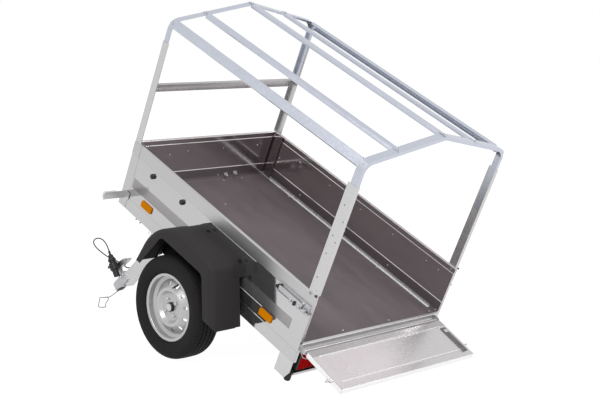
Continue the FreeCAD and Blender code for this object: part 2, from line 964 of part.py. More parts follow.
def corner_plates():
    bodies = []
    for side in (LEFT, RIGHT):
        body = new_body("corner_plate")
        start, length = across(side, half_width - s.corner_plate_thick, half_width)
        outline = [
            (0, 0),
            (0, s.corner_plate_cut - s.corner_plate_drop),
            (s.corner_plate_cut / 2, -s.corner_plate_drop),
            (s.corner_plate_length, -s.corner_plate_drop),
            (s.corner_plate_length, 0),
        ]
        pad(body, "XZ_Plane", start, length, outline)
        bodies.append(body)
    keep_group(bodies, "rear_corner_plates", bed)


def rear_beam():
    body = new_body("rear_beam")
    web = s.lamp_depth
    top = floor_low
    outline = [
        (-s.beam_lip, -s.beam_drop),
        (web + s.beam_flange, -s.beam_drop),
        (web + s.beam_flange, -s.beam_drop + s.beam_sheet),
        (web + s.beam_sheet, -s.beam_drop + s.beam_sheet),
        (web + s.beam_sheet, top),
        (web, top),
        (web, -s.beam_drop + s.beam_sheet),
        (-s.beam_lip, -s.beam_drop + s.beam_sheet),
    ]
    pad(body, "XZ_Plane", -inner_half, 2 * inner_half, outline)
    keep(body, "rear_beam", bed)


def tail_lamp(name, side):
    """The lamp's housing, its lens set back inside a border that is wider at the outer end."""
    body = new_body(name)
    far = inner_half - s.lamp_side
    near = far - s.lamp_length
    high = lamp_low + s.lamp_height
    rounding = s.lamp_round
    outline = [(side * near, lamp_low, rounding), (side * far, lamp_low, rounding),
               (side * far, high, rounding), (side * near, high, rounding)]
    pad(body, "YZ_Plane", 0, s.lamp_depth, outline)
    lens = box(side * (near + s.lamp_border), side * (far - s.lamp_outer_border),
               lamp_low + s.lamp_border, high - s.lamp_border)
    pocket(body, "YZ_Plane", 0, s.lamp_recess, lens)
    keep(body, name, bed)


def rubber_feet():
    bodies = []
    for side in (LEFT, RIGHT):
        body = new_body("foot")
        sketch = new_sketch(body, "XZ_Plane")
        draw_path(sketch, [(0, foot_bottom), (s.foot_radius, foot_bottom, s.foot_round),
                           (s.foot_radius, -s.beam_drop), (0, -s.beam_drop)])
        feature = body.newObject("PartDesign::Revolution", "turned")
        feature.Profile = sketch
        feature.ReferenceAxis = axis_of(body, "Z_Axis")
        place = Vector(s.foot_place.value, side * (half_width - s.foot_side).value, 0)
        body.Placement = Placement(place, Rotation())
        bodies.append(body)
    keep_group(bodies, "rubber_feet", bed)


corner_plates()
rear_beam()
for side_name, side in SIDES.items():
    tail_lamp(f"tail_lamp_{side_name}", side)
rubber_feet()


# Tailgate, drawn open, x forward and z up from its hinge axis

gate = frame_at(-s.gate_hinge_back.value, 0, s.gate_hinge_height.value, -s.gate_droop.value)
gate_ear_start = inner_half - s.gate_side_gap - s.gate_ear_thick
gate_half = gate_ear_start - s.gate_sheet


def tailgate_panel():
    """A pressed tray: its face lies low and its borders slope up to a lip all round."""
    body = new_body("tailgate_panel")
    top = s.gate_face_rise
    outline = box(-s.gate_length, -s.gate_start, top - s.gate_thick, top)
    pad(body, "XZ_Plane", -gate_half, 2 * gate_half, outline)
    mouth = new_sketch(body, "XY_Plane", top)
    draw_path(mouth, box(-s.gate_length + s.gate_lip, -s.gate_start - s.gate_lip,
                         -gate_half + s.gate_lip, gate_half - s.gate_lip))
    face = new_sketch(body, "XY_Plane", top - s.gate_tray_depth)
    draw_path(face, box(-s.gate_length + s.gate_end_bevel, -s.gate_start - s.gate_hinge_bevel,
                        -gate_half + s.gate_side_bevel, gate_half - s.gate_side_bevel))
    tray = body.newObject("PartDesign::SubtractiveLoft", "tray")
    tray.Profile = mouth
    tray.Sections = [face]
    tray.Ruled = True
    far = gate_half - s.gate_slot_side
    start = s.gate_start + s.gate_slot_start
    slot = box(-start - s.gate_slot_length, -start, -far, -far + s.gate_slot_width)
    pocket(body, "XY_Plane", top - s.gate_slot_depth, s.gate_slot_depth, slot)
    keep(body, "tailgate_panel", gate)


def tailgate_hinge():
    body = new_body("tailgate_hinge")
    bore = s.gate_pin_radius + s.gate_pin_fit
    pad(body, "XZ_Plane", -gate_half, 2 * gate_half,
        circles=[(0, 0, s.gate_tube_radius), (0, 0, bore)])
    outline = box(-s.gate_start, -bore, -s.gate_sheet, s.gate_sheet)
    pad(body, "XZ_Plane", -gate_half, 2 * gate_half, outline)
    pocket(body, "XZ_Plane", -gate_half, 2 * gate_half, circles=[(0, 0, bore)])
    keep(body, "tailgate_hinge", gate)


def tailgate_catches():
    """At each end a flat block on the panel's side, with the round bolt that it guides."""
    bodies = []
    for side in (LEFT, RIGHT):
        body = new_body("catch")
        start, length = across(side, gate_half, gate_half + s.catch_reach)
        middle = s.gate_face_rise - s.gate_thick / 2
        half = s.catch_width / 2
        outline = box(-s.catch_place - half, -s.catch_place + half,
                      middle - s.catch_thick / 2, middle + s.catch_thick / 2)
        pad(body, "XZ_Plane", start, length, circles=[(-s.catch_place, middle, s.catch_bolt_radius)])
        start, length = across(side, gate_half, gate_half + s.catch_reach / 2)
        pad(body, "XZ_Plane", start, length, outline)
        bodies.append(body)
    keep_group(bodies, "tailgate_catches", gate)


def tailgate_pins():
    """The hinge pins and the ears on the sill that carry them."""
    bodies = []
    back = -s.gate_hinge_back
    height = s.gate_hinge_height
    radius = s.gate_ear_radius
    rounding = radius * END_ROUND_SHARE
    for side in (LEFT, RIGHT):
        body = new_body("gate_pin")
        start, length = across(side, gate_ear_start, gate_ear_start + s.gate_ear_thick)
        outline = [
            (back - radius, height - radius, rounding),
            (0, height - radius),
            (0, height + radius),
            (back - radius, height + radius, rounding),
        ]
        pad(body, "XZ_Plane", start, length, outline)
        start, length = across(side, gate_ear_start - s.gate_pin_length, gate_ear_start)
        pad(body, "XZ_Plane", start, length, circles=[(back, height, s.gate_pin_radius)])
        bodies.append(body)
    keep_group(bodies, "tailgate_pins", bed)


tailgate_panel()
tailgate_hinge()
tailgate_catches()
tailgate_pins()


# Tarp frame

def angle_post(body, side, place, forward, width):
    """An upright angle at a corner of the bed: a side face and an end face."""
    out = side * (half_width - s.wall_fold)
    face = out - side * s.post_sheet
    deep = out - side * s.post_depth
    far = place + forward * width
    near = place + forward * s.post_sheet
    outline = [(place, out), (far, out), (far, face), (near, face), (near, deep), (place, deep)]
    pad(body, "XY_Plane", s.wall_height, s.post_top - s.wall_height, outline)


def corner_posts():
    bodies = []
    for side in (LEFT, RIGHT):
        for place, forward, width in ((as_size(0), 1, s.post_width), (s.bed_length, -1, s.post_front_width)):
            body = new_body("post")
            angle_post(body, side, place, forward, width)
            bodies.append(body)
    keep_group(bodies, "corner_posts", bed)


bow_out = half_width - s.wall_fold - s.post_sheet


def bow(name, place, forward, width):
    """The bent angle over the bed, standing inside the two posts, its flange at the bed's end."""
    body = new_body(name)
    skin = s.bow_sheet
    path = new_sketch(body, "YZ_Plane", place)
    path_points = [
        (bow_out, s.bow_start),
        (bow_out, s.bow_eave, s.bow_eave_radius),
        (0, s.bow_ridge, s.bow_ridge_radius),
        (-bow_out, s.bow_eave, s.bow_eave_radius),
        (-bow_out, s.bow_start),
    ]
    draw_path(path, path_points, closed=False)
    profile = new_sketch(body, "XY_Plane", s.bow_start)
    near = place + forward * s.post_sheet
    far = near + forward * width
    web = near + forward * skin
    deep = bow_out - s.bow_depth
    section = [(near, bow_out), (far, bow_out), (far, bow_out - skin), (web, bow_out - skin),
               (web, deep), (near, deep)]
    draw_path(profile, section)
    doc.recompute()
    sweep = body.newObject("PartDesign::AdditivePipe", "bow")
    sweep.Profile = profile
    edges = [f"Edge{number}" for number in range(1, len(path.Shape.Edges) + 1)]
    sweep.Spine = (path, edges)
    sweep.Transition = "Transformed"
    keep(body, name, bed)


# The bows' outer surface, worked out at any place across the bed.
rear_rail_end = s.post_sheet + s.bow_width + s.rail_end_gap
front_rail_end = s.bed_length - s.post_sheet - s.bow_front_width - s.rail_end_gap
roof_rise = (s.bow_ridge - s.bow_eave).value
roof_slope = math.degrees(math.atan2(roof_rise, bow_out.value))
eave_slope = (90 + roof_slope) / 2
eave_inset = s.bow_eave_radius.value * (1 / math.cos(math.radians(90 - roof_slope) / 2) - 1)
ridge_inset = s.bow_ridge_radius.value * (1 / math.cos(math.radians(roof_slope)) - 1)


def roof_height(y):
    return s.bow_ridge.value - roof_rise * abs(y) / bow_out.value


def rail_section(half, flat, shoulder, depth):
    """A channel that opens downwards, with sloping shoulders beside its flat top."""
    skin = s.rail_sheet
    half_flat = flat / 2
    outer = [(-half, -depth), (-half, -shoulder), (-half_flat, 0)]
    inner = [(-half + skin, -depth), (-half + skin, -shoulder - skin / 2), (-half_flat + skin / 2, -skin)]
    mirrored = [(-across_y, up) for across_y, up in outer[::-1]]
    back = [(-across_y, up) for across_y, up in inner]
    return outer + mirrored + back + inner[::-1]


def rail(name, across_bed, height, slope, section):
    """A roof rail between the two bows, with a flat tab over each of them."""
    body = new_body(name)
    pad(body, "YZ_Plane", rear_rail_end, front_rail_end - rear_rail_end, section)
    half_tab = s.rail_tab_width / 2
    rear_tab = s.post_sheet
    front_tab = s.bed_length - s.post_sheet
    pad(body, "YZ_Plane", rear_tab, front_tab - rear_tab, box(-half_tab, half_tab, -s.rail_sheet, 0))
    lift = Placement(Vector(0, across_bed, height), Rotation(Vector(1, 0, 0), slope))
    seat = Placement(Vector(0, 0, s.rail_sheet.value), Rotation())
    keep(body, name, bed.multiply(lift).multiply(seat))


corner_posts()
bow("rear_bow", as_size(0), 1, s.bow_width)
bow("front_bow", s.bed_length, -1, s.bow_front_width)
roof_rail = rail_section(s.rail_width / 2, s.rail_top_width, s.rail_shoulder, s.rail_depth)
eave_rail = rail_section(s.eave_rail_width / 2, s.eave_rail_width - 2 * s.rail_sheet, s.rail_sheet,
                         s.eave_rail_depth)
eave_y = bow_out.value - eave_inset * math.sin(math.radians(eave_slope))
eave_height = s.bow_eave.value - eave_inset * math.cos(math.radians(eave_slope))
rail("eave_rail_left", eave_y, eave_height, -eave_slope, eave_rail)
rail("eave_rail_right", -eave_y, eave_height, eave_slope, eave_rail)
rail("mid_rail_left", s.rail_mid_left.value, roof_height(s.rail_mid_left.value), -roof_slope, roof_rail)
rail("mid_rail_right", -s.rail_mid_right.value, roof_height(s.rail_mid_right.value), roof_slope, roof_rail)
rail("ridge_rail", 0, s.bow_ridge.value - ridge_inset, 0, roof_rail)


def cross_bar():
    body = new_body("front_cross_bar")
    end = s.bed_length - s.post_sheet
    start = end - s.cross_bar_depth
    low = s.cross_bar_top - s.cross_bar_height
    skin = s.rail_sheet
    out = half_width - s.wall_fold - s.post_depth
    outline = [(start, low), (end, low), (end, s.cross_bar_top), (start, s.cross_bar_top),
               (start, s.cross_bar_top - skin), (end - skin, s.cross_bar_top - skin),
               (end - skin, low + skin), (start, low + skin)]
    pad(body, "XZ_Plane", -out, 2 * out, outline)
    keep(body, "front_cross_bar", bed)


cross_bar()


# Fittings on the walls

def latch_plates():
    """The latch's channel on each wall: a plate with a flange along both edges."""
    bodies = []
    far = s.latch_start + s.latch_length
    low = s.latch_low
    high = s.latch_high
    thick = s.latch_plate_thick
    for side in (LEFT, RIGHT):
        body = new_body("latch_plate")
        start, length = across(side, half_width, half_width + thick)
        pad(body, "XZ_Plane", start, length, box(s.latch_start, far, low, high))
        start, length = across(side, half_width - s.wall_fold, half_width)
        pad(body, "XZ_Plane", start, length, box(s.latch_start, far, low, s.wall_high_fold - s.wall_fold))
        start, length = across(side, half_width + thick, half_width + s.latch_flange)
        pad(body, "XZ_Plane", start, length, box(s.latch_start, far, low, low + thick))
        pad(body, "XZ_Plane", start, length, box(s.latch_start, far, high - thick, high))
        bodies.append(body)
    keep_group(bodies, "latch_plates", bed)


def latch_handles():
    """The long round-ended handle that lies in each channel."""
    bodies = []
    near = half_width + s.latch_plate_thick
    far = s.latch_start + s.latch_length - s.latch_plate_thick
    low = s.latch_low + s.latch_handle_rise
    high = low + s.latch_handle_height
    rounding = s.latch_handle_height / 2 * END_ROUND_SHARE
    rear = far - s.latch_handle_length
    for side in (LEFT, RIGHT):
        body = new_body("latch_handle")
        start, length = across(side, near, near + s.latch_handle_thick)
        outline = [(rear, low, rounding), (far, low, rounding), (far, high, rounding), (rear, high, rounding)]
        pad(body, "XZ_Plane", start, length, outline)
        bodies.append(body)
    keep_group(bodies, "latch_handles", bed)


def wall_caps():
    bodies = []
    near = half_width - s.wall_fold
    end = s.cap_length
    for side in (LEFT, RIGHT):
        for place in (s.bed_length - s.cap_front_place, s.bed_length - s.cap_rear_place):
            body = new_body("cap")
            turned(body, [(0, 0), (s.cap_radius, 0), (s.cap_radius, side * end, s.cap_round), (0, side * end)])
            body.Placement = Placement(
                Vector(place.value, side * near.value, s.cap_height.value), Rotation())
            bodies.append(body)
    keep_group(bodies, "wall_caps", bed)


def side_reflectors():
    bodies = []
    near = half_width - s.wall_fold
    low = s.reflector_low
    high = low + s.reflector_height
    rounding = s.reflector_round
    for side in (LEFT, RIGHT):
        for place in (s.bed_length - s.reflector_front_place, s.reflector_rear_place):
            body = new_body("reflector")
            far = place + s.reflector_length
            start, length = across(side, near, near + s.reflector_thick)
            outline = [(place, low, rounding), (far, low, rounding), (far, high, rounding),
                       (place, high, rounding)]
            pad(body, "XZ_Plane", start, length, outline)
            bodies.append(body)
    keep_group(bodies, "side_reflectors", bed)


marker_x = s.bed_length - s.marker_setback


def marker_brackets():
    """A bent strip at each front corner: a foot on the wall and an arm that stands out."""
    bodies = []
    low = s.marker_low
    high = low + s.marker_height
    for side in (LEFT, RIGHT):
        body = new_body("marker_bracket")
        start, length = across(side, half_width, half_width + s.marker_reach)
        pad(body, "XZ_Plane", start, length, box(marker_x, marker_x + s.marker_thick, low, high))
        start, length = across(side, half_width, half_width + s.marker_thick)
        pad(body, "XZ_Plane", start, length, box(marker_x - s.marker_foot, marker_x, low, high))
        bodies.append(body)
    keep_group(bodies, "marker_brackets", bed)


def marker_lamps():
    bodies = []
    place = marker_x + s.marker_thick
    middle = s.marker_low + s.marker_height / 2
    low = middle - s.marker_lens_height / 2
    high = middle + s.marker_lens_height / 2
    far = half_width + s.marker_reach - s.marker_thick
    near = far - s.marker_lens_width
    rounding = s.marker_lens_round
    for side in (LEFT, RIGHT):
        body = new_body("marker_lamp")
        outline = [(side * near, low, rounding), (side * far, low, rounding),
                   (side * far, high, rounding), (side * near, high, rounding)]
        pad(body, "YZ_Plane", place, s.marker_lens_depth, outline)
        bodies.append(body)
    keep_group(bodies, "marker_lamps", bed)


latch_plates()
latch_handles()
wall_caps()
side_reflectors()
marker_brackets()
marker_lamps()


# Drawbar, drawn x forward along the channel and z up from its hinge axis

# The lower front edge of the coupling's nose rests on the ground, whichever of its two corners
# comes down first, and that sets how far the drawbar hangs.
nose_end = s.drawbar_length + s.coupling_end
hinge_ground = hinge_x * sin_tip - s.hinge_drop * cos_tip + bed_lift
nose_corners = [(nose_end - s.coupling_nose_cut, s.coupling_low),
                (nose_end, s.coupling_low - s.coupling_nose_rise)]
hang_angles = [math.degrees(math.asin(hinge_ground.value / math.hypot(ahead.value, below.value))
                            - math.atan2(below.value, ahead.value)) for ahead, below in nose_corners]
drawbar_turn = min(hang_angles) + s.tip_angle.value
drawbar = frame_at(hinge_x.value, 0, -s.hinge_drop.value, drawbar_turn)


def drawbar_tube():
    """The square tube, its front end cut to a point inside the coupling's neck."""
    body = new_body("drawbar_tube")
    half = s.drawbar_width / 2
    high = s.drawbar_height / 2 - s.drawbar_sink
    low = high - s.drawbar_height
    wall = s.drawbar_wall
    end = s.drawbar_length
    pad(body, "YZ_Plane", -s.drawbar_tail, end + s.drawbar_tail, box(-half, half, low, high),
        holes=[box(-half + wall, half - wall, low + wall, high - wall)])
    bore = s.hinge_pin_radius + s.hinge_pin_fit
    pocket(body, "XZ_Plane", -half, s.drawbar_width, circles=[(0, 0, bore)])
    past = s.overrun
    tip_height = (high + low) / 2
    upper = [(end - s.drawbar_top_cut, high), (end, tip_height), (end + past, tip_height),
             (end + past, high + past), (end - s.drawbar_top_cut, high + past)]
    pocket(body, "XZ_Plane", -half - past, s.drawbar_width + 2 * past, upper)
    lower = [(end - s.drawbar_low_cut, low), (end, tip_height), (end + past, tip_height),
             (end + past, low - past), (end - s.drawbar_low_cut, low - past)]
    pocket(body, "XZ_Plane", -half - past, s.drawbar_width + 2 * past, lower)
    keep(body, "drawbar_tube", drawbar)


def hinge_cheeks():
    """Two cheeks under the front cross member that carry the drawbar's pin."""
    bodies = []
    front = s.bed_length - s.wall_thick
    top = floor_low - s.member_height
    radius = s.hinge_cheek_radius
    rounding = radius * END_ROUND_SHARE
    for side in (LEFT, RIGHT):
        body = new_body("cheek")
        near = s.drawbar_width / 2 + s.hinge_side_gap
        start, length = across(side, near, near + s.hinge_cheek_thick)
        outline = [
            (front - s.hinge_cheek_length, top),
            (hinge_x - radius, hinge_height - radius, rounding),
            (hinge_x + radius, hinge_height - radius, rounding),
            (hinge_x + radius, 0),
            (front, 0),
            (front, top),
        ]
        pad(body, "XZ_Plane", start, length, outline)
        bore = s.hinge_pin_radius + s.hinge_pin_fit
        pocket(body, "XZ_Plane", start, length, circles=[(hinge_x, hinge_height, bore)])
        bodies.append(body)
    keep_group(bodies, "hinge_cheeks", bed)


def hinge_pin():
    body = new_body("hinge_pin")
    out = s.drawbar_width / 2 + s.hinge_side_gap + s.hinge_cheek_thick + s.hinge_pin_head
    pad(body, "XZ_Plane", -out, 2 * out, circles=[(hinge_x, hinge_height, s.hinge_pin_radius)])
    keep(body, "hinge_pin", bed)


NOSE_ROUND_SHARE = 0.96


def coupling_head():
    """The pressed head: a neck over the bar's end and a round nose with the ball's socket."""
    body = new_body("coupling_head")
    half = s.coupling_half_width
    top = s.coupling_top
    low = -s.coupling_low
    past = s.overrun
    neck = s.drawbar_length - s.coupling_start
    nose = s.drawbar_length + s.coupling_gap
    rounding = half * NOSE_ROUND_SHARE
    pad(body, "XY_Plane", low, top - low, [(neck, -half), (nose_end, -half, rounding),
                                         (nose_end, half, rounding), (neck, half)])
    pad(body, "XY_Plane", -s.coupling_neck_low, s.coupling_neck_low - s.coupling_low,
        box(neck, nose, -half, half))
    doc.recompute()
    names = []
    for number, edge in enumerate(body.Shape.Edges, start=1):
        heights = [vertex.Point.z for vertex in edge.Vertexes]
        if all(abs(height - top.value) < SAME_PLACE for height in heights):
            names.append(f"Edge{number}")
    form = body.Tip
    rounded = body.newObject("PartDesign::Fillet", "top_edge")
    rounded.Base = (form, names)
    bind(rounded, "Radius", s.coupling_edge_round)
    bar_top = s.drawbar_height / 2 - s.drawbar_sink
    bar_half = s.drawbar_width / 2
    space = box(neck - past, nose, -s.coupling_neck_low - past, bar_top)
    pocket(body, "XZ_Plane", -bar_half, 2 * bar_half, space)
    ball_place = nose_end - half
    pocket(body, "XY_Plane", low, s.socket_depth, circles=[(ball_place, 0, s.socket_radius)])
    chamfer = [(nose_end - s.coupling_nose_cut, low), (nose_end, low + s.coupling_nose_rise),
               (nose_end + past, low + s.coupling_nose_rise), (nose_end + past, low - past),
               (nose_end - s.coupling_nose_cut, low - past)]
    pocket(body, "XZ_Plane", -half - past, 2 * (half + past), chamfer)
    keep(body, "coupling_head", drawbar)


# The lever's outline: shares of its length from the rear, and of its height over the coupling.
LEVER_SHARES = [(0.744, 0), (0.96, 0), (0.85, 0.34), (0.85, 0.6), (1, 0.93), (0.83, 1), (0.26, 0.82),
                (0.03, 0.6), (0, 0.45), (0.22, 0.45), (0.744, 0.56)]
LEVER_ROUND_CORNERS = (4, 5, 7, 8)
LEVER_HOLE_SHARES = (0.13, 0.565)


def coupling_lever():
    """The pressed lever that lifts the lock, with a finger hole at its rear end."""
    body = new_body("coupling_lever")
    rear = s.drawbar_length - s.lever_rear
    length = s.lever_rear + s.lever_front
    height = s.lever_high - s.coupling_top
    outline = []
    for index, (along, up) in enumerate(LEVER_SHARES):
        corner = (rear + length * along, s.coupling_top + height * up)
        outline.append(corner + ((s.lever_tip_round,) if index in LEVER_ROUND_CORNERS else ()))
    pad(body, "XZ_Plane", -s.lever_width / 2, s.lever_width, outline)
    hole_x = rear + length * LEVER_HOLE_SHARES[0]
    hole_z = s.coupling_top + height * LEVER_HOLE_SHARES[1]
    pocket(body, "XZ_Plane", -s.lever_width / 2, s.lever_width,
           circles=[(hole_x, hole_z, s.lever_hole_radius)])
    keep(body, "coupling_lever", drawbar)


# The plug's outline: shares of its radius and of its length, from its foot to its tail.
PLUG_SHARES = [(0, 0), (0.69, 0), (0.72, 0.22), (1, 0.27), (1, 0.51), (0.76, 0.54), (0.76, 0.59),
               (0.9, 0.61), (0.9, 0.67), (0.65, 0.72), (0.55, 0.82), (0.27, 0.86), (0.24, 1), (0, 1)]
PLUG_LUG_SHARES = (0.43, 0.51)


def light_plug():
    """The round plug that stands parked on the coupling, its tail uppermost and a lug forward."""
    body = new_body("light_plug")
    sketch = new_sketch(body, "XZ_Plane")
    draw_path(sketch, [(s.plug_radius * out, s.plug_length * up) for out, up in PLUG_SHARES])
    feature = body.newObject("PartDesign::Revolution", "turned")
    feature.Profile = sketch
    feature.ReferenceAxis = axis_of(body, "Z_Axis")
    low = s.plug_length * PLUG_LUG_SHARES[0]
    high = s.plug_length * PLUG_LUG_SHARES[1]
    half = s.plug_lug_width / 2
    rounding = half * END_ROUND_SHARE
    lug = [(0, -half), (s.plug_lug_reach, -half, rounding), (s.plug_lug_reach, half, rounding), (0, half)]
    pad(body, "XY_Plane", low, high - low, lug)
    place = s.drawbar_length + s.plug_place
    lift = s.coupling_top + s.plug_stand
    stand = Placement(Vector(place.value, s.plug_side.value, lift.value),
                      Rotation(Vector(0, 1, 0), -s.plug_lean.value))
    keep(body, "light_plug", drawbar.multiply(stand))


# Each arc of a cord takes this share of the shorter of its two runs.
ARC_SHARE = 0.45


def cord_edges(points):
    """Straight runs joined by tangent arcs."""
    edges = []
    radii = []
    here = points[0]
    for index in range(1, len(points) - 1):
        corner = points[index]
        back = points[index - 1] - corner
        ahead = points[index + 1] - corner
        reach = ARC_SHARE * min(back.Length, ahead.Length)
        half_turn = (math.pi - back.getAngle(ahead)) / 2
        radius = reach / math.tan(half_turn)
        back.normalize()
        ahead.normalize()
        first = corner + back * reach
        last = corner + ahead * reach
        inward = (back + ahead).normalize()
        middle = corner + inward * (radius / math.cos(half_turn) - radius)
        edges.append(Part.LineSegment(here, first).toShape())
        edges.append(Part.Arc(first, middle, last).toShape())
        radii.append(round(radius))
        here = last
    edges.append(Part.LineSegment(here, points[-1]).toShape())
    return edges, radii


def cord(name, points, radius, frame):
    edges, radii = cord_edges(points)
    path = Part.Wire(edges)
    along = points[1] - points[0]
    ring = Part.Wire(Part.makeCircle(radius, points[0], along))
    tube = path.makePipeShell([ring], True, True)
    feature = doc.addObject("Part::Feature", name)
    feature.Shape = tube
    keep(feature, name, frame)
    expected = math.pi * radius * radius * path.Length
    print(name, "radii", radii, "length", round(path.Length),
          "volume share", round(tube.Volume / expected, 4))


# The light cable, as forward, left and up along the drawbar.
CABLE_ROUTE = [
    (818, -12, 35), (818, -12, 54), (836, -17, 64), (862, -20, 80), (880, -22, 115), (906, -23, 150),
    (936, -17, 185), (966, -5, 226), (984, 8, 268), (997, 20, 307), (1003, 29, 341), (994, 36, 366),
    (962, 41, 371), (917, 44, 353), (880, 46, 319), (866, 46.5, 282), (866, 45, 249.6),
    (870.927, 45, 223.153),
]
# The safety rope, down to the ground and laid there in an eye: forward, left and up.
ROPE_ROUTE = [
    (2127.61, 0, 50.24), (2117, 0, 38.2), (2112, 24, 31.5), (2106, 58, 25), (2096, 92, 17.5),
    (2084, 124, 9), (2073, 152, 3.6), (2070, 172, 2.6), (2078, 190, 2.6), (2088, 208, 2.6),
    (2083, 228, 2.6), (2062, 244, 2.6), (2034, 264, 2.6), (2004, 286, 2.6), (1968, 315, 2.6),
    (1932, 342, 2.6), (1902, 366, 2.6), (1883, 363, 2.6), (1870, 349, 2.6), (1871, 330, 2.6),
    (1900, 312, 2.6), (1936, 287, 2.6), (1970, 254, 2.6), (2000, 224, 2.6), (2030, 198, 2.6),
    (2056, 180, 2.6),
]


def cords():
    cable = [Vector(*point) for point in CABLE_ROUTE]
    cord("light_cable", cable, s.cable_radius.value, drawbar)
    rope = [Vector(*point) for point in ROPE_ROUTE]
    cord("safety_rope", rope, s.rope_radius.value, Placement())


drawbar_tube()
hinge_cheeks()
hinge_pin()
coupling_head()
coupling_lever()
light_plug()
cords()

doc.recompute()

# The origin is on the ground, midway between the foremost and rearmost points of the
# trailer itself, so the pieces on cords aren't measured.
CORD_PIECES = ("light_plug", "light_cable", "safety_rope")
reach = [thing.Shape.optimalBoundingBox() for name, thing in parts.items() if name not in CORD_PIECES]
middle_x = (min(bound.XMin for bound in reach) + max(bound.XMax for bound in reach)) / 2
to_middle = Placement(Vector(-middle_x, 0, 0), Rotation())
for thing in parts.values():
    thing.Placement = to_middle.multiply(thing.Placement)
doc.recompute()

# Every object is sound before anything is written.
for thing in doc.Objects:
    if "Invalid" in thing.State or "Error" in thing.State:
        raise RuntimeError(f"{thing.Name} ({thing.Label}) is not sound: {thing.State}")
os.makedirs("parts", exist_ok=True)
for name, thing in parts.items():
    if thing.Shape.isNull() or not thing.Shape.isValid():
        raise RuntimeError(f"{name} has no sound shape")
for title, frame in (("bed", bed), ("tailgate hinge", gate), ("drawbar hinge", drawbar),
                     ("left wheel", wheel_frame(LEFT)), ("right wheel", wheel_frame(RIGHT))):
    place = to_middle.multiply(frame)
    print(title, "at", [round(v, 3) for v in place.Base], "turned",
          round(place.Rotation.getYawPitchRoll()[1], 4))
for name, thing in parts.items():
    thing.Shape.exportStep(f"parts/{name}.step")
    bound = thing.Shape.BoundBox
    print(name, len(thing.Shape.Solids), round(thing.Shape.Volume / 1000), "cm3",
          [round(v) for v in (bound.XMin, bound.XMax, bound.YMin, bound.YMax, bound.ZMin, bound.ZMax)])
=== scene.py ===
# %% [markdown]
# A small tipping utility trailer, parked with its bed tipped back on two rubber feet.
# The solids come packed from the construction model and stay where they are. This script
# gives them their finishes, and adds what is too small or too soft for the solids:
# cords, bolts, tread, trim, lamp glass and stripes.

import json
import math

import bmesh
import bpy
from mathutils import Matrix, Vector

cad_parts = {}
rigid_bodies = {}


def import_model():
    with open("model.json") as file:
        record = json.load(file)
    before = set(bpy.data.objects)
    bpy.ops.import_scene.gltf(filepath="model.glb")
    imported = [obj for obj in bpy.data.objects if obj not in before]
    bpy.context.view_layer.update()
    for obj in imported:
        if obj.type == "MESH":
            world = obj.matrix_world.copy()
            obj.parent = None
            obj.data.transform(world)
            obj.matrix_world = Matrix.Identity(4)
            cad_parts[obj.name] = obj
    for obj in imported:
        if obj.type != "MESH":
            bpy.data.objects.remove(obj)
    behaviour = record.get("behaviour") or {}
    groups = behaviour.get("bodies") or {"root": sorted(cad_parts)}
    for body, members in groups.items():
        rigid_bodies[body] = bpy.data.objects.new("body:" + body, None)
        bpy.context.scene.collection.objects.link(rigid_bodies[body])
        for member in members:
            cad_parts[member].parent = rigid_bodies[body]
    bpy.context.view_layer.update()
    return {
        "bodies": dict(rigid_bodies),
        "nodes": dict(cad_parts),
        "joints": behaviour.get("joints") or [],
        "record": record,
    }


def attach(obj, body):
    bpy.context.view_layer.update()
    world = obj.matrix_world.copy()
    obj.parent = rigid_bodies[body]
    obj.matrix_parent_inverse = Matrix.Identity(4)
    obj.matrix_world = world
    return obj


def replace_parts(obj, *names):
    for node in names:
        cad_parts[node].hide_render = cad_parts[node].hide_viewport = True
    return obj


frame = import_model()
nodes = frame["nodes"]
scene = bpy.context.scene
scene.view_settings.view_transform = "Standard"

# %% [markdown]
# The bed is tipped back, so its pieces are easier to place in the bed's own frame: x forward
# from its rear end, y left and z up from the walls' lower edge. The tailgate and the drawbar
# have frames of their own at their hinges, and each wheel has one at its middle. All of them
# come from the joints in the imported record. Sizes are in millimetres, and MM shrinks them.

# %% Frames of the bed and of what moves on it
MM = Matrix.Scale(0.001, 4)
TIP = math.radians(23.0)
GATE_DROOP = math.radians(6.0)
BED_LENGTH = 1588
HINGE_PLACE = 1540
HINGE_DROP = 48

joints = {joint["name"]: joint for joint in frame["joints"]}


def joint_place(name):
    return Vector(joints[name]["pos_m"])


def turned_frame(place, nose_down):
    return Matrix.Translation(place) @ Matrix.Rotation(nose_down, 4, "Y")


bed_turn = Matrix.Rotation(-TIP, 4, "Y")
bar_hinge = joint_place("drawbar_fold")
fold = math.radians(-joints["drawbar_fold"]["range_deg"][0])
bed_origin = bar_hinge - bed_turn @ MM @ Vector((HINGE_PLACE, 0, -HINGE_DROP))
BED = turned_frame(bed_origin, -TIP)
GATE = turned_frame(joint_place("tailgate_fold"), -TIP - GATE_DROOP)
BAR = turned_frame(bar_hinge, fold - TIP)
WORLD = Matrix.Identity(4)
print("bed origin", [round(v, 4) for v in bed_origin], "bar nose down",
      round(math.degrees(fold - TIP), 2))

# %% [markdown]
# The photograph was measured with a pinhole camera fitted to the bed's corners and posts.
# The same camera stands here, given in the bed's frame: where it is, its three directions and
# its lens. The picture's middle was a fraction of a pixel off, and a small shift carries that.

# %% The camera
PHOTO_WIDTH = 600
PHOTO_HEIGHT = 400
FOCAL_PIXELS = 1292.9
CENTRE_PIXEL = (299.3, 199.8)
CAMERA_PLACE = (-3411, 4883, 3418)
CAMERA_RIGHT = (-0.6293, -0.7189, 0.2953)
CAMERA_UP = (0.5058, -0.0904, 0.8579)

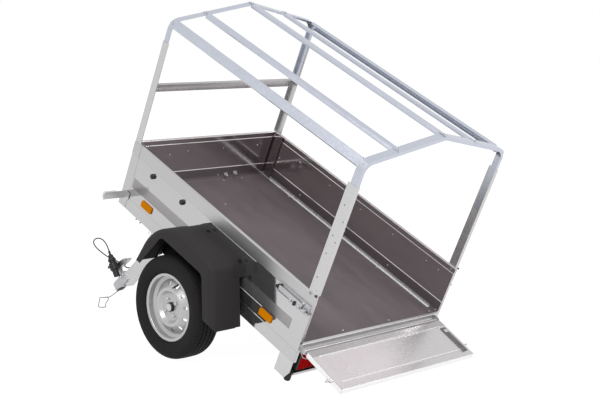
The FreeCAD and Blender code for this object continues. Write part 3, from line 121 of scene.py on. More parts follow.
right = (bed_turn @ Vector(CAMERA_RIGHT)).normalized()
back = right.cross(bed_turn @ Vector(CAMERA_UP)).normalized()
up = back.cross(right)
camera_data = bpy.data.cameras.new("photo_camera")
camera_data.sensor_width = 36
camera_data.lens = FOCAL_PIXELS * camera_data.sensor_width / PHOTO_WIDTH
camera_data.shift_x = (PHOTO_WIDTH / 2 - CENTRE_PIXEL[0]) / PHOTO_WIDTH
camera_data.shift_y = (CENTRE_PIXEL[1] - PHOTO_HEIGHT / 2) / PHOTO_WIDTH
camera = bpy.data.objects.new("photo_camera", camera_data)
looking = Matrix((right, up, back)).transposed().to_4x4()
camera.matrix_world = Matrix.Translation(BED @ MM @ Vector(CAMERA_PLACE)) @ looking
scene.collection.objects.link(camera)
scene.camera = camera
print("lens", round(camera_data.lens, 1), "mm")

# %% [markdown]
# Shader maths reads best as plain sums. A Wire is one output of a node, and Python's own
# signs on it add Math nodes. A Finish is one material with its Principled shader, and its
# node method makes any other node from its type, its settings and its sockets' values.

# %% Wires that do sums
class Wire:
    """One output of a node."""

    def __init__(self, finish, socket):
        self.finish = finish
        self.socket = socket

    def maths(self, operation, first, second=0.0):
        return self.finish.node("ShaderNodeMath", {"operation": operation}, {0: first, 1: second})

    def __add__(self, other):
        return self.maths("ADD", self, other)

    def __radd__(self, other):
        return self.maths("ADD", other, self)

    def __sub__(self, other):
        return self.maths("SUBTRACT", self, other)

    def __rsub__(self, other):
        return self.maths("SUBTRACT", other, self)

    def __mul__(self, other):
        return self.maths("MULTIPLY", self, other)

    def __abs__(self):
        return self.maths("ABSOLUTE", self)


# %% Finishes
def paint(red, green, blue):
    """A colour as it shows on a screen, 0 to 255, in the shader's own linear scale."""
    linear = [((c / 255 + 0.055) / 1.055) ** 2.4 if c > 10 else c / 255 / 12.92
              for c in (red, green, blue)]
    return (*linear, 1.0)


def shade(colour, factor):
    """The same colour, lighter or darker."""
    return (*(min(1.0, c * factor) for c in colour[:3]), 1.0)


class Finish:
    """A material with its Principled shader."""

    def __init__(self, name, **constants):
        self.material = bpy.data.materials.new(name)
        self.material.use_nodes = True
        self.tree = self.material.node_tree
        self.shader = self.tree.nodes["Principled BSDF"]
        self.set(**constants)

    def set(self, **values):
        """Feeds the shader's sockets, named with _ for a blank."""
        for name, value in values.items():
            self.feed(self.shader.inputs[name.replace("_", " ")], value)

    def feed(self, socket, value):
        if isinstance(value, Wire):
            self.tree.links.new(value.socket, socket)
        else:
            socket.default_value = value

    def node(self, kind, settings=None, sockets=None, output=0):
        made = self.tree.nodes.new(kind)
        for name, value in (settings or {}).items():
            setattr(made, name, value)
        for name, value in (sockets or {}).items():
            self.feed(made.inputs[name], value)
        return Wire(self, made.outputs[output])

    def mix(self, factor, first, second):
        """Two colours mixed by a factor."""
        return self.node("ShaderNodeMix", {"data_type": "RGBA"}, {0: factor, 6: first, 7: second}, 2)

    def place(self, within=WORLD, stretch=(1, 1, 1)):
        """Where a point lies at rest in one of the trailer's frames, in metres."""
        here = self.node("ShaderNodeTexCoord", output="Object")
        sockets = {"Vector": here, "Location": within.to_translation(),
                   "Rotation": within.to_euler(), "Scale": stretch}
        return self.node("ShaderNodeMapping", {"vector_type": "TEXTURE"}, sockets)

    def along(self, where, axis):
        """One coordinate of a place."""
        return self.node("ShaderNodeSeparateXYZ", None, {"Vector": where}, axis)

    def noise(self, where, scale, detail=3.0, roughness=0.5):
        sockets = {"Vector": where, "Scale": scale, "Detail": detail, "Roughness": roughness}
        return self.node("ShaderNodeTexNoise", None, sockets, "Fac")

    def ramp(self, value, low, high):
        """Stretches a value so that low becomes 0 and high becomes 1."""
        sockets = {"Value": value, "From Min": low, "From Max": high}
        return self.node("ShaderNodeMapRange", {"clamp": True}, sockets)

    def bump(self, height, strength, distance):
        sockets = {"Height": height, "Strength": strength, "Distance": distance}
        self.set(Normal=self.node("ShaderNodeBump", None, sockets))


print("finish tools ready")

# %% [markdown]
# Hot-dip galvanised sheet is pale and faintly mottled: zinc freezes in grains a centimetre
# or two across, each a little brighter or darker. A Voronoi texture has such grains. They
# shift the base colour and the roughness slightly, and a fine noise adds the speckle.

# %% Galvanised sheet
GRAIN_PER_METRE = 70


def galvanised(name, colour, contrast=0.05, metal=0.9, rough=0.3, within=WORLD, painted_shade=None, wave=0.25):
    """Zinc sheet; an optional function paints shade into its colour by where a point lies."""
    finish = Finish(name, Metallic=metal)
    where = finish.place(within)
    grains = finish.node("ShaderNodeTexVoronoi", None, {"Vector": where, "Scale": GRAIN_PER_METRE},
                         "Color")
    grain = finish.node("ShaderNodeSeparateColor", None, {"Color": grains}, "Red")
    speck = finish.noise(where, 600.0, 2.0)
    cloud = finish.noise(where, 4.0, 3.0)
    tone = grain * 0.35 + speck * 0.25 + cloud * 0.4
    colours = finish.mix(tone, shade(colour, 1 - contrast), shade(colour, 1 + contrast))
    if painted_shade:
        colours = painted_shade(finish, where, colours)
    finish.set(Base_Color=colours)
    finish.set(Roughness=rough + grain * 0.05 + cloud * 0.06)
    finish.bump(cloud, wave, 0.002)
    return finish.material


def gate_painted_shade(finish, where, colours):
    """Painted reflection and shade: grey towards the tailgate's right end, and greyer still in the strip
    beside its hinge.
    """
    right_end_shade = finish.ramp(finish.along(where, 1), 0.12, -0.16)
    hinge_strip_shade = finish.ramp(finish.along(where, 0), -0.064, -0.056)
    shaded_colours = finish.mix(right_end_shade, colours, paint(196, 194, 195))
    return finish.mix(hinge_strip_shade * 0.7, shaded_colours, paint(158, 156, 156))


sheet_metal = galvanised("galvanised_sheet", paint(196, 195, 196))
shaded_sheet = galvanised("shaded_sheet", paint(178, 175, 176), contrast=0.08, rough=0.34)
# A brighter copy of the sheet, for the floor strips and the tailgate's folds and rim: painted highlight.
highlight_sheet = galvanised("highlight_sheet", paint(228, 228, 228), contrast=0.03, rough=0.2)
# A darker copy of the sheet for the tailgate's hinge: painted shade.
shaded_hinge_sheet = galvanised("shaded_hinge_sheet", paint(172, 170, 171), contrast=0.07)
rail_metal = galvanised("rail_metal", paint(188, 192, 203), contrast=0.05, rough=0.24)
# The tailgate's colour has a reflection and shade painted in by place.
gate_metal = galvanised("tailgate_metal", paint(212, 205, 207), contrast=0.03, rough=0.24, within=GATE,
                        painted_shade=gate_painted_shade, wave=0.08)
print("galvanised finishes ready")

# %% [markdown]
# The walls are the same sheet, but smoother: they mirror what is near them. Outside they show
# the pale surroundings and, under the upper fold, the black fender. Inside they show the brown
# floor, so the inner faces look brown and only their folds catch the light. Low on the inner
# face a band is darkened: painted shade. One material does both, because a place across the
# wall tells which face a point is on.

# %% Wall sheet, with an outer and an inner face
def wall_sheet(name, axis, inner_edge):
    """Sheet for a wall; past inner_edge, in metres, along the axis lies its outer face."""
    finish = Finish(name)
    where = finish.place(BED)
    outside = finish.ramp(abs(finish.along(where, axis)), inner_edge, inner_edge + 0.002)
    cloud = finish.noise(finish.place(BED, (3, 1, 1)), 6.0, 4.0)
    speck = finish.noise(where, 500.0, 2.0)
    tone = cloud * 0.6 + speck * 0.4
    # A band low on the inner face is darkened towards grey: painted shade.
    low_shade_band = finish.ramp(abs(finish.along(where, 2) - 0.15), 0.032, 0.022)
    inner = finish.mix(tone, paint(192, 186, 187), paint(208, 203, 204))
    inner = finish.mix(low_shade_band * 0.55, inner, paint(120, 117, 118))
    outer = finish.mix(tone, paint(180, 179, 180), paint(191, 190, 191))
    over_fold = finish.ramp(finish.along(where, 2), 0.322, 0.328)
    finish.set(Base_Color=finish.mix(outside, inner, outer))
    finish.set(Metallic=1.0 - outside * 0.05)
    finish.set(Roughness=0.1 + cloud * 0.06 - outside * 0.05 + outside * over_fold * 0.25)
    finish.bump(cloud, 0.06, 0.002)
    return finish.material


side_wall_metal = wall_sheet("side_wall_sheet", 1, 0.527)
front_wall_metal = wall_sheet("front_wall_sheet", 0, 1.578)
print("wall sheets ready")

# %% [markdown]
# The floor is plywood with a brown phenolic film. Film is even and slightly glossy when new,
# and use leaves paler drifts along the bed, with small scuffs. A noise stretched along the bed
# makes the drifts, rougher where they are pale, and two finer ones add grain and flecks.

# %% Film-faced plywood
def film_plywood():
    finish = Finish("film_plywood")
    drift = finish.noise(finish.place(BED, (2.6, 0.7, 1)), 4.0, 6.0, 0.66)
    fine = finish.noise(finish.place(BED), 230.0, 5.0, 0.7)
    scuff = finish.ramp(drift, 0.4, 0.7)
    fleck = finish.ramp(finish.noise(finish.place(BED), 420.0, 2.0), 0.66, 0.8)
    tone = scuff * 0.46 + fine * 0.54 + fleck * 0.3
    finish.set(Base_Color=finish.mix(tone, paint(54, 45, 48), paint(104, 93, 96)))
    finish.set(Roughness=0.4 + scuff * 0.16)
    finish.bump(fine, 0.1, 0.0004)
    return finish.material


plywood = film_plywood()
print("plywood ready")

# %% [markdown]
# Fenders, caps and plugs are moulded black plastic, and tyres and feet are rubber. What tells
# them apart is how black, how rough and how grainy they are, so one function makes them all.

# %% Moulded plastic and rubber
def moulded(name, dark, light, rough=0.5, grain=900.0, depth=0.12, shine=0.4):
    finish = Finish(name, Specular_IOR_Level=shine)
    where = finish.place()
    cloud = finish.noise(where, 7.0, 4.0)
    fine = finish.noise(where, grain, 2.0)
    finish.set(Base_Color=finish.mix(cloud * 0.6 + fine * 0.4, dark, light))
    finish.set(Roughness=rough + cloud * 0.14)
    finish.bump(fine, depth, 0.0004)
    return finish.material


fender_plastic = moulded("fender_plastic", paint(37, 35, 36), paint(47, 45, 46), 0.56, shine=0.14)
# Darker than the fender's own plastic, for the inner skirt: painted shade under the fender.
shaded_skirt_plastic = moulded("shaded_skirt_plastic", paint(12, 11, 12), paint(20, 18, 19), 0.6, shine=0.1)
tyre_rubber = moulded("tyre_rubber", paint(19, 17, 18), paint(28, 26, 27), 0.7, 500.0, 0.15, 0.18)
black_rubber = moulded("black_rubber", paint(18, 17, 18), paint(28, 26, 27), 0.55)
black_plastic = moulded("black_plastic", paint(16, 15, 16), paint(26, 24, 25), 0.42)
# Pale film for the lines on the walls: painted highlights.
highlight_film = moulded("highlight_film", paint(196, 194, 195), paint(210, 208, 209), 0.5, shine=0.2)
fender_screw_plastic = moulded("fender_screw_plastic", paint(14, 13, 14), paint(22, 21, 22),
                               shine=0.15)
print("plastics and rubbers ready")

# %% [markdown]
# A lamp's glass is clear coloured plastic over small prisms. The prisms break up the light, so
# the glass looks deep and ribbed. Fine waves across the lens do that here, under a thin coat.
# It has little gloss of its own, since the white floor mirrored in it would drown its colour.

# %% Lamp glass and reflectors
RIBS_PER_METRE = 90


def lamp_glass(name, dark, light):
    finish = Finish(name, Specular_IOR_Level=0.005, Coat_Weight=0.02, Coat_Roughness=0.2)
    where = finish.place(BED)
    ribs = finish.node("ShaderNodeTexWave", {"bands_direction": "Y"},
                       {"Vector": where, "Scale": RIBS_PER_METRE}, "Fac")
    cloud = finish.noise(where, 30.0, 2.0)
    finish.set(Base_Color=finish.mix(ribs * 0.4 + cloud * 0.6, dark, light))
    finish.set(Roughness=0.3 + cloud * 0.1)
    finish.bump(ribs, 0.12, 0.0006)
    return finish.material


red_glass = lamp_glass("red_lens", paint(152, 4, 4), paint(176, 8, 7))
amber_glass = lamp_glass("amber_lens", paint(180, 106, 0), paint(196, 122, 4))
clear_glass = lamp_glass("clear_lens", paint(186, 188, 192), paint(206, 208, 212))
print("lamp glass ready")

# %% [markdown]
# The rim is pressed steel with silver paint. Bolts and small fittings are zinc plated, and the
# coupling is cast or pressed and plated too, a little rougher. The printed stripe on the walls
# is a glossy grey film that pales towards its upper edge.

# %% Silver paint, plated steel and the stripe's film
def printed_film():
    finish = Finish("stripe_film", Metallic=0.8)
    where = finish.place(BED)
    height = finish.ramp(finish.along(where, 2), 0.141, 0.201)
    cloud = finish.noise(where, 12.0, 3.0)
    tone = height * 0.8 + cloud * 0.2
    finish.set(Base_Color=finish.mix(tone, paint(140, 138, 139), paint(152, 150, 151)))
    finish.set(Roughness=0.16 + cloud * 0.08)
    return finish.material


rim_paint = galvanised("rim_paint", paint(176, 176, 177), contrast=0.04, metal=0.55, rough=0.27)
zinc = galvanised("zinc_plate", paint(186, 186, 188), contrast=0.12, metal=0.9, rough=0.28)
dark_steel = galvanised("dark_steel", paint(104, 102, 104), contrast=0.12, metal=0.8, rough=0.4)
inner_plate = galvanised("inner_plate", paint(168, 160, 162), contrast=0.06, metal=1.0, rough=0.16)
cast_zinc = galvanised("cast_zinc", paint(180, 180, 182), contrast=0.14, metal=0.85, rough=0.36)
stripe_film = printed_film()
print("paints ready")

# %% [markdown]
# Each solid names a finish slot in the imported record. Most solids of a slot look alike, and
# the few that differ, such as the walls and the roof rails, are listed by name.

# %% Give every solid its finish
slot_finish = {
    "galvanised": sheet_metal,
    "plywood": plywood,
    "black_plastic": black_plastic,
    "tyre": tyre_rubber,
    "rubber": black_rubber,
    "silver_paint": rim_paint,
    "red_lens": black_plastic,
    "amber_lens": amber_glass,
    "clear_lens": clear_glass,
    "steel": zinc,
    "cast_head": cast_zinc,
}
finish_of_node = {
    "fender_left": fender_plastic,
    "fender_right": fender_plastic,
    "side_wall_left": side_wall_metal,
    "side_wall_right": side_wall_metal,
    "front_wall": front_wall_metal,
    "tailgate_panel": gate_metal,
    "tailgate_hinge": shaded_hinge_sheet,
    "front_cross_bar": shaded_sheet,
}
for roof_piece in ("rear_bow", "front_bow", "eave_rail_left", "eave_rail_right", "mid_rail_left",
                   "mid_rail_right", "ridge_rail"):
    finish_of_node[roof_piece] = rail_metal
for part in frame["record"]["subparts"]:
    solid = nodes[part["node"]]
    finish = finish_of_node.get(part["node"], slot_finish[part["material_slot"]])
    for index in range(len(solid.material_slots)):
        solid.material_slots[index].material = finish
print("finishes", len(bpy.data.materials))

# %% [markdown]
# A cord is one smooth curve. These control points repeat the routes of the construction
# model, in metres: the light cable in the drawbar's frame, and the safety rope over the ground,
# with its x counted from the bed's rear end. The cable runs from the tube, up behind the parked
# plug in a loop, and down into its tail.

# %% Cords
CABLE_DIAMETER = 0.0076
CABLE_ROUTE = [
    (0.818, -0.012, 0.035), (0.818, -0.012, 0.054), (0.836, -0.017, 0.064), (0.862, -0.020, 0.080),
    (0.880, -0.022, 0.115), (0.906, -0.023, 0.150), (0.936, -0.017, 0.185), (0.966, -0.005, 0.226),
    (0.984, 0.008, 0.268), (0.997, 0.020, 0.307), (1.003, 0.029, 0.341), (0.994, 0.036, 0.366),
    (0.962, 0.041, 0.371), (0.917, 0.044, 0.353), (0.880, 0.046, 0.319), (0.866, 0.0465, 0.282),
    (0.866, 0.045, 0.2496), (0.870927, 0.045, 0.223153),
]
ROPE_DIAMETER = 0.005
ROPE_SHIFT = Vector((-0.870123, 0, 0))
ROPE_HANGING = [
    (2.12761, 0, 0.05024), (2.117, 0, 0.0382), (2.112, 0.024, 0.0315), (2.106, 0.058, 0.025),
    (2.096, 0.092, 0.0175), (2.084, 0.124, 0.009), (2.073, 0.152, 0.0036),
]
ROPE_LYING = [
    (2.070, 0.172), (2.078, 0.190), (2.088, 0.208), (2.083, 0.228), (2.062, 0.244), (2.034, 0.264),
    (2.004, 0.286), (1.968, 0.315), (1.932, 0.342), (1.902, 0.366), (1.883, 0.363), (1.870, 0.349),
    (1.871, 0.330), (1.900, 0.312), (1.936, 0.287), (1.970, 0.254), (2.000, 0.224), (2.030, 0.198),
    (2.056, 0.180),
]
ROPE_REST = 0.0026


def smooth_cord(name, points, diameter, finish):
    data = bpy.data.curves.new(name, "CURVE")
    data.dimensions = "3D"
    spline = data.splines.new("NURBS")
    spline.points.add(len(points) - 1)
    for point, place in zip(spline.points, points):
        point.co = (*place, 1.0)
    spline.order_u = 3
    spline.use_endpoint_u = True
    data.resolution_u = 12
    data.bevel_depth = diameter / 2
    data.bevel_resolution = 4
    data.use_fill_caps = True
    data.materials.append(finish)
    made = bpy.data.objects.new(name, data)
    scene.collection.objects.link(made)
    return made


cable_points = [BAR @ Vector(point) for point in CABLE_ROUTE]
cable = smooth_cord("cable_run", cable_points, CABLE_DIAMETER, black_rubber)
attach(cable, "drawbar")
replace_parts(cable, "light_cable")
rope_route = ROPE_HANGING + [(x, y, ROPE_REST) for x, y in ROPE_LYING]
rope_points = [Vector(point) + ROPE_SHIFT for point in rope_route]
rope = smooth_cord("rope_run", rope_points, ROPE_DIAMETER, dark_steel)
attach(rope, "drawbar")
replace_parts(rope, "safety_rope")
print("cords", cable.name, rope.name)

# %% [markdown]
# The small pieces are all made the same way: rings of points joined into a closed skin. A
# bolt, a rivet and a tyre are rings turned about an axis, a plate is one outline at several
# heights, and a wire is rings along a line. A seat is a frame with its z pointing out of the
# surface that a piece sits on. The solids tell where their surfaces are: a straight line is
# sent at one, and where it lands is the seat.

# %% Seats and outlines
SIDES = {"left": 1, "right": -1}
WHEEL = {side: turned_frame(joint_place(f"wheel_{side}_spin"), -TIP) for side in SIDES}


def seat_at(frame, place, outward):
    """A seat at a place in a frame, its z along a direction."""
    turn = (frame.to_3x3() @ Vector(outward)).to_track_quat("Z", "Y").to_matrix().to_4x4()
    return Matrix.Translation(frame @ MM @ Vector(place)) @ turn


def on_surface(node, frame, place, toward):
    """The seat where a line from a place first meets a solid."""
    solid = nodes[node]
    home = solid.matrix_world.inverted()
    start = home @ frame @ MM @ Vector(place)
    way = home.to_3x3() @ frame.to_3x3() @ Vector(toward)
    hit, spot, normal, _ = solid.ray_cast(start, way)
    assert hit, f"no surface of {node} at {place}"
    spot = solid.matrix_world @ spot
    turn = (solid.matrix_world.to_3x3() @ normal).to_track_quat("Z", "Y").to_matrix().to_4x4()
    return Matrix.Translation(spot) @ turn


def circle(radius, sides, height=0.0):
    turns = [math.tau * i / sides for i in range(sides)]
    return [(radius * math.cos(turn), radius * math.sin(turn), height) for turn in turns]


def inset(outline, by):
    """An anticlockwise outline moved inwards."""
    moved = []
    for i, here in enumerate(outline):
        before, here, after = Vector(outline[i - 1]), Vector(here), Vector(outline[(i + 1) % len(outline)])
        first = Vector((before.y - here.y, here.x - before.x)).normalized()
        second = Vector((here.y - after.y, after.x - here.x)).normalized()
        moved.append(here + by * (first + second) / (1 + first.dot(second)))
    return moved


print("wheels at", [tuple(round(v, 3) for v in WHEEL[side].to_translation()) for side in SIDES])


# %% A piece of the scene
class Piece:
    """One named piece, gathered from closed forms that are given in millimetres."""

    def __init__(self, name, body, slot, finish):
        self.name = name
        self.body = body
        self.slot = slot
        self.finish = finish
        self.mesh = bmesh.new()

    def skin(self, rings, seat, endless=False):
        """Joins rings of points, one after the other, and closes both ends or joins them too."""
        rows = [[self.mesh.verts.new(seat @ MM @ Vector(point)) for point in ring] for ring in rings]
        for near, far in zip(rows, rows[1:] + rows[:1] if endless else rows[1:]):
            for i in range(len(near)):
                self.mesh.faces.new((near[i - 1], near[i], far[i], far[i - 1]))
        if not endless:
            self.mesh.faces.new(rows[0])
            self.mesh.faces.new(rows[-1])

    def turned(self, profile, seat, sides):
        """A profile of radius and height pairs, turned about the seat's z."""
        self.skin([circle(radius, sides, height) for radius, height in profile], seat)

    def slab(self, outline, low, high, edge, seat):
        """A plate between two heights, with its upper edge broken."""
        layers = ((outline, low), (outline, high - edge), (inset(outline, edge), high))
        self.skin([[(x, y, height) for x, y in shape] for shape, height in layers], seat)

    def rod(self, points, radius, seat, sides):
        """A round bar or wire along a line of points."""
        line = [Vector(point) for point in points]
        turn = (line[1] - line[0]).to_track_quat("Z", "Y")
        rings = []
        for i, here in enumerate(line):
            ahead = (line[min(i + 1, len(line) - 1)] - line[max(i - 1, 0)]).normalized()
            turn = (turn @ Vector((0, 0, 1))).rotation_difference(ahead) @ turn
            rings.append([here + turn @ Vector(point) for point in circle(radius, sides)])
        self.skin(rings, seat)

    def rivet(self, seat, radius, height):
        """A domed head."""
        dome = [(radius, -0.2), (radius, height * 0.2), (radius * 0.86, height * 0.62),
                (radius * 0.55, height * 0.92), (radius * 0.2, height)]
        self.turned(dome, seat, 12)

    def screw(self, seat, radius, height):
        """A pan head with a round recess for the driver."""
        head = [(radius, -0.2), (radius, height * 0.45), (radius * 0.88, height * 0.85),
                (radius * 0.7, height), (radius * 0.42, height), (radius * 0.36, height * 0.4)]
        self.turned(head, seat, 14)

    def bolt(self, seat, across, thread=0.0):
        """A hexagon head on a washer, or a nut where some thread stands out of it."""
        corner = across / math.sqrt(3)
        washer = across * 0.9
        head = across * 0.55
        self.turned([(washer, -0.2), (washer, 1.4), (washer - 0.5, 1.8)], seat, 20)
        self.turned([(corner * 0.94, 1.4), (corner, 2.2), (corner, head), (corner * 0.84, head + 1.2)],
                    seat, 6)
        if thread:
            self.turned([(across * 0.3, head), (across * 0.3, head + thread),
                         (across * 0.22, head + thread + 1)], seat, 12)

    def done(self, crease=35):
        """Makes the piece, fixes it to its body and hands it back."""
        bmesh.ops.recalc_face_normals(self.mesh, faces=self.mesh.faces)
        for face in self.mesh.faces:
            face.smooth = True
        data = bpy.data.meshes.new(self.name)
        self.mesh.to_mesh(data)
        self.mesh.free()
        data.set_sharp_from_angle(angle=math.radians(crease))
        data.materials.append(self.finish)
        made = bpy.data.objects.new(self.name, data)
        scene.collection.objects.link(made)
        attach(made, self.body)
        print(self.name, len(data.polygons), "faces")
        return made


# %% [markdown]
# A tyre is drawn as half a profile, from the bead over the sidewall to the tread. Four grooves
# run round the tread. Short cross grooves cut its shoulders: each pitch round the tyre has a
# land and a groove, and in the groove the shoulder's points sink a few millimetres.

# %% Tyres with their tread
TYRE_RADIUS = 278.0
TREAD_EDGE = ((3.4, 57.0), (2.0, 51.0))
CROWN_BEND = 0.0007
PITCHES = 80
LAND_AND_GROOVE = ((0.0, 0), (0.4, 0), (0.8, 0), (0.82, 1), (0.92, 1), (0.94, 0))
GROOVE_PLACES = (15.0, 39.0)
GROOVE_HALF = 3.6
GROOVE_DEPTH = 6.5
GROOVE_TAPER = 1.2
CROSS_DEPTH = 1.8
CROSS_REACH = (46.0, 72.0)
SIDEWALL = ((170.4, 58.6), (182.6, 58.9), (184.5, 66.0), (190.0, 71.5), (198.0, 75.4), (199.0, 76.6),
            (202.0, 77.0), (203.0, 76.4), (212.0, 79.4), (224.0, 81.4), (236.0, 81.8), (247.0, 80.6),
            (248.0, 81.0), (250.0, 80.6), (251.0, 79.2), (259.0, 76.0), (266.0, 70.5), (271.5, 64.0))


def tread_half():
    """Radius and place across of the tread, from its shoulder to its middle."""
    points = [(TYRE_RADIUS - drop, place) for drop, place in TREAD_EDGE]
    for place in sorted(GROOVE_PLACES, reverse=True):
        crown = TYRE_RADIUS - CROWN_BEND * place * place
        floor = crown - GROOVE_DEPTH
        floor_half = GROOVE_HALF - GROOVE_TAPER
        points += [(crown, place + GROOVE_HALF), (floor, place + floor_half),
                   (floor, place - floor_half), (crown, place - GROOVE_HALF)]
    return points


def tyre_mesh(side):
    piece = Piece(f"tyre_{side}_tread", f"wheel_{side}", "tyre", tyre_rubber)
    seat = seat_at(WHEEL[side], (0, 0, 0), (0, SIDES[side], 0))
    half = list(SIDEWALL) + tread_half()
    profile = [(radius, -across) for radius, across in half]
    profile += [(radius, across) for radius, across in reversed(half)]
    turns = [(math.tau * (pitch + share) / PITCHES, sunk) for pitch in range(PITCHES)
             for share, sunk in LAND_AND_GROOVE]
    rings = []
    for radius, across in profile:
        shoulder = CROSS_REACH[0] < abs(across) < CROSS_REACH[1]
        reaches = [(radius - CROSS_DEPTH * sunk * shoulder, turn) for turn, sunk in turns]
        rings.append([(reach * math.cos(turn), reach * math.sin(turn), across) for reach, turn in reaches])
    piece.skin(rings, seat, endless=True)
    return piece.done(28)


for side in SIDES:
    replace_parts(tyre_mesh(side), f"tyre_{side}")

# %% [markdown]
# Each wheel is held by four bolts round the hub, and its valve stands in one of the vents.
# The hub's end is closed by a pale cap that stands in a dark sleeve. Bolts, cap and sleeve are
# turned, the valve is a rod, and all ride on their wheel, so that they turn with it.

# %% Wheel bolts, valves and hub caps
OUTSIDE_WHEEL = 120
BOLT_CIRCLE = 50.0
BOLT_SHIFT = 0.4
BOLT_SIZE = 17
SLEEVE = ((25, -0.2), (25, 25), (24, 26.4), (21.6, 27))
CAP = ((21.4, 25), (21.4, 28), (20, 30.4), (14, 32.2), (5, 33))
VALVE_TURN = math.radians(93)
VALVE_LINE = ((150, 38), (141, 50), (133, 66), (129, 76))
VALVE_RADIUS = 5.2
VALVE_TIP_RADIUS = 4.0

for side, out in SIDES.items():
    middle = WHEEL[side]
    bolts = Piece(f"wheel_bolts_{side}", f"wheel_{side}", "steel", zinc)
    for quarter in range(4):
        turn = math.tau * (quarter + BOLT_SHIFT) / 4
        place = (BOLT_CIRCLE * math.cos(turn), OUTSIDE_WHEEL * out, BOLT_CIRCLE * math.sin(turn))
        bolts.bolt(on_surface(f"wheel_rim_{side}", middle, place, (0, -out, 0)), BOLT_SIZE)
    bolts.done()
    hub = on_surface(f"wheel_hub_{side}", middle, (0, OUTSIDE_WHEEL * out, 0), (0, -out, 0))
    cap = Piece(f"hub_cap_{side}", f"wheel_{side}", "galvanised", sheet_metal)
    cap.turned(CAP, hub, 28)
    cap.done()
    rubber = Piece(f"wheel_rubber_{side}", f"wheel_{side}", "black_plastic", black_plastic)
    rubber.turned(SLEEVE, hub, 28)
    valve = [(reach * math.cos(VALVE_TURN), y * out, reach * math.sin(VALVE_TURN))
             for reach, y in VALVE_LINE]
    rubber.rod(valve[:3], VALVE_RADIUS, middle, 14)
    rubber.rod(valve[2:], VALVE_TIP_RADIUS, middle, 12)
    rubber.done()

# %% [markdown]
# Each wall carries a bare grey stripe outside, in two lengths that end behind the fender. A
# pale line under the rear length, and another along the wall's upper fold over the fender, are
# painted highlights. The film is thinner than half a millimetre. Inside, an edge strip covers
# the gap between the floor and the wall; its brighter sheet is a painted highlight.

# %% Stripes and floor strips
STRIPE_LOW = 141
STRIPE_HIGH = 201
STRIPE_RUNS = ((100, STRIPE_LOW, 560, STRIPE_HIGH), (960, STRIPE_LOW, 1512, STRIPE_HIGH))
# Where the pale lines lie: painted highlights.
HIGHLIGHT_RUNS = ((314, 130, 507, 134), (446, 317.6, 832, 320.4))
FILM_LAYER = (537.02, 537.4)
INNER_FACE = 516.8
FLOOR_TOP = 107
STRIP_RUN = (66, 1562)
STRIP_SHAPE = ((0, 0), (0, 17), (1.4, 17), (1.8, 2.4), (12, 1.4), (12, 0))


def box(left, low, right, high):
    return [(left, low), (right, low), (right, high), (left, high)]


def wall_rings(outline, layer, out):
    """An outline in x and z at several places across the bed, on one side of it."""
    return [[(x, y * out, z) for x, z in outline] for y in layer]


for side, out in SIDES.items():
    for name, runs, finish in (("wall_stripe", STRIPE_RUNS, stripe_film),
                               ("edge_highlight", HIGHLIGHT_RUNS, highlight_film)):
        film = Piece(f"{name}_{side}", "bed", "galvanised", finish)
        for run in runs:
            film.skin(wall_rings(box(*run), FILM_LAYER, out), BED)
        film.done()
    strip = Piece(f"floor_strip_{side}", "bed", "galvanised", highlight_sheet)
    strip.skin([[(x, (INNER_FACE - across) * out, FLOOR_TOP + height) for across, height in STRIP_SHAPE]
                for x in STRIP_RUN], BED)
    strip.done()

# %% [markdown]
# Rivets hold the inner sheets, the posts and the corner plates, and screws hold the floor.
# Their places were measured in the photograph on the faces that it shows, and the other side
# has them mirrored. Walls and posts take theirs from x and z, the floor from x and y and the
# front wall from y and z. A head is given by its radius and its height.

# %% Rivets and screws of the bed
INNER_RIVETS = ((102, 330), (196, 330), (473, 330), (750, 330), (1027, 330), (1304, 330), (1474, 267),
                (29, 380), (427, 152), (802, 152), (1219, 152), (23, 119))
OUTER_RIVETS = ((83, 371), (1530, 375), (1530, 333))
PLATE_RIVETS = ((61, 59), (61, 15))
FLOOR_SCREWS = ((38, 191), (36, -158), (1284, -501), (1284, 11), (1284, 501), (478, -498), (478, 498),
                (1537, -176), (1538, -320), (35, -489), (35, 489))
FRONT_RIVETS = ((278, 300), (148, 315), (-123, 315), (-394, 317), (-142, 131))
FRONT_NUTS = ((-207, 125), (-278, 131))
POST_RIVETS = ((34, 900), (8, 821), (38, 729), (10, 705), (39, 626), (42, 488))
POST_INNER_RIVETS = ((9, 922), (9, 750), (9, 646), (9, 513))
WALL_HEAD = (4.2, 2.0)
OUTER_HEAD = (3.4, 1.4)
PLATE_HEAD = (6.0, 2.6)
POST_HEAD = (3.8, 2.0)
POST_INNER_HEAD = (4.0, 2.0)
FLOOR_HEAD = (5.4, 1.8)
FRONT_NUT = (17, 7)
SMALL_BOLT = 9
INSIDE_START = 400
OUTSIDE_START = 700
FRONT_START = 1400
FLOOR_START = 300
CORNER_STEPS = 5
POST_STOP = (-6, 396, 12, 404)
POST_STOP_LAYER = (540.2, 545)
POST_BOLT = (46, 392)
CORNER_PLATE = (1496, 110, 1558, 397)
CORNER_PLATE_LAYER = (516.6, 513)


def rounded_box(left, low, right, high, radius):
    """A box with round corners, its points anticlockwise."""
    corners = [(right - radius, high - radius), (left + radius, high - radius),
               (left + radius, low + radius), (right - radius, low + radius)]
    points = []
    for quarter, (x, y) in enumerate(corners):
        for step in range(CORNER_STEPS + 1):
            turn = math.tau / 4 * (quarter + step / CORNER_STEPS)
            points.append((x + radius * math.cos(turn), y + radius * math.sin(turn)))
    return points


def from_inside(node, x, z, out):
    """The seat where a line from inside the bed meets a solid at its side."""
    return on_surface(node, BED, (x, INSIDE_START * out, z), (0, out, 0))


def from_outside(node, x, z, out):
    """The seat where a line from beside the bed meets a solid at its side."""
    return on_surface(node, BED, (x, OUTSIDE_START * out, z), (0, -out, 0))


def on_front(y, z):
    """The seat on the front wall's inner face."""
    return on_surface("front_wall", BED, (FRONT_START, y, z), (1, 0, 0))


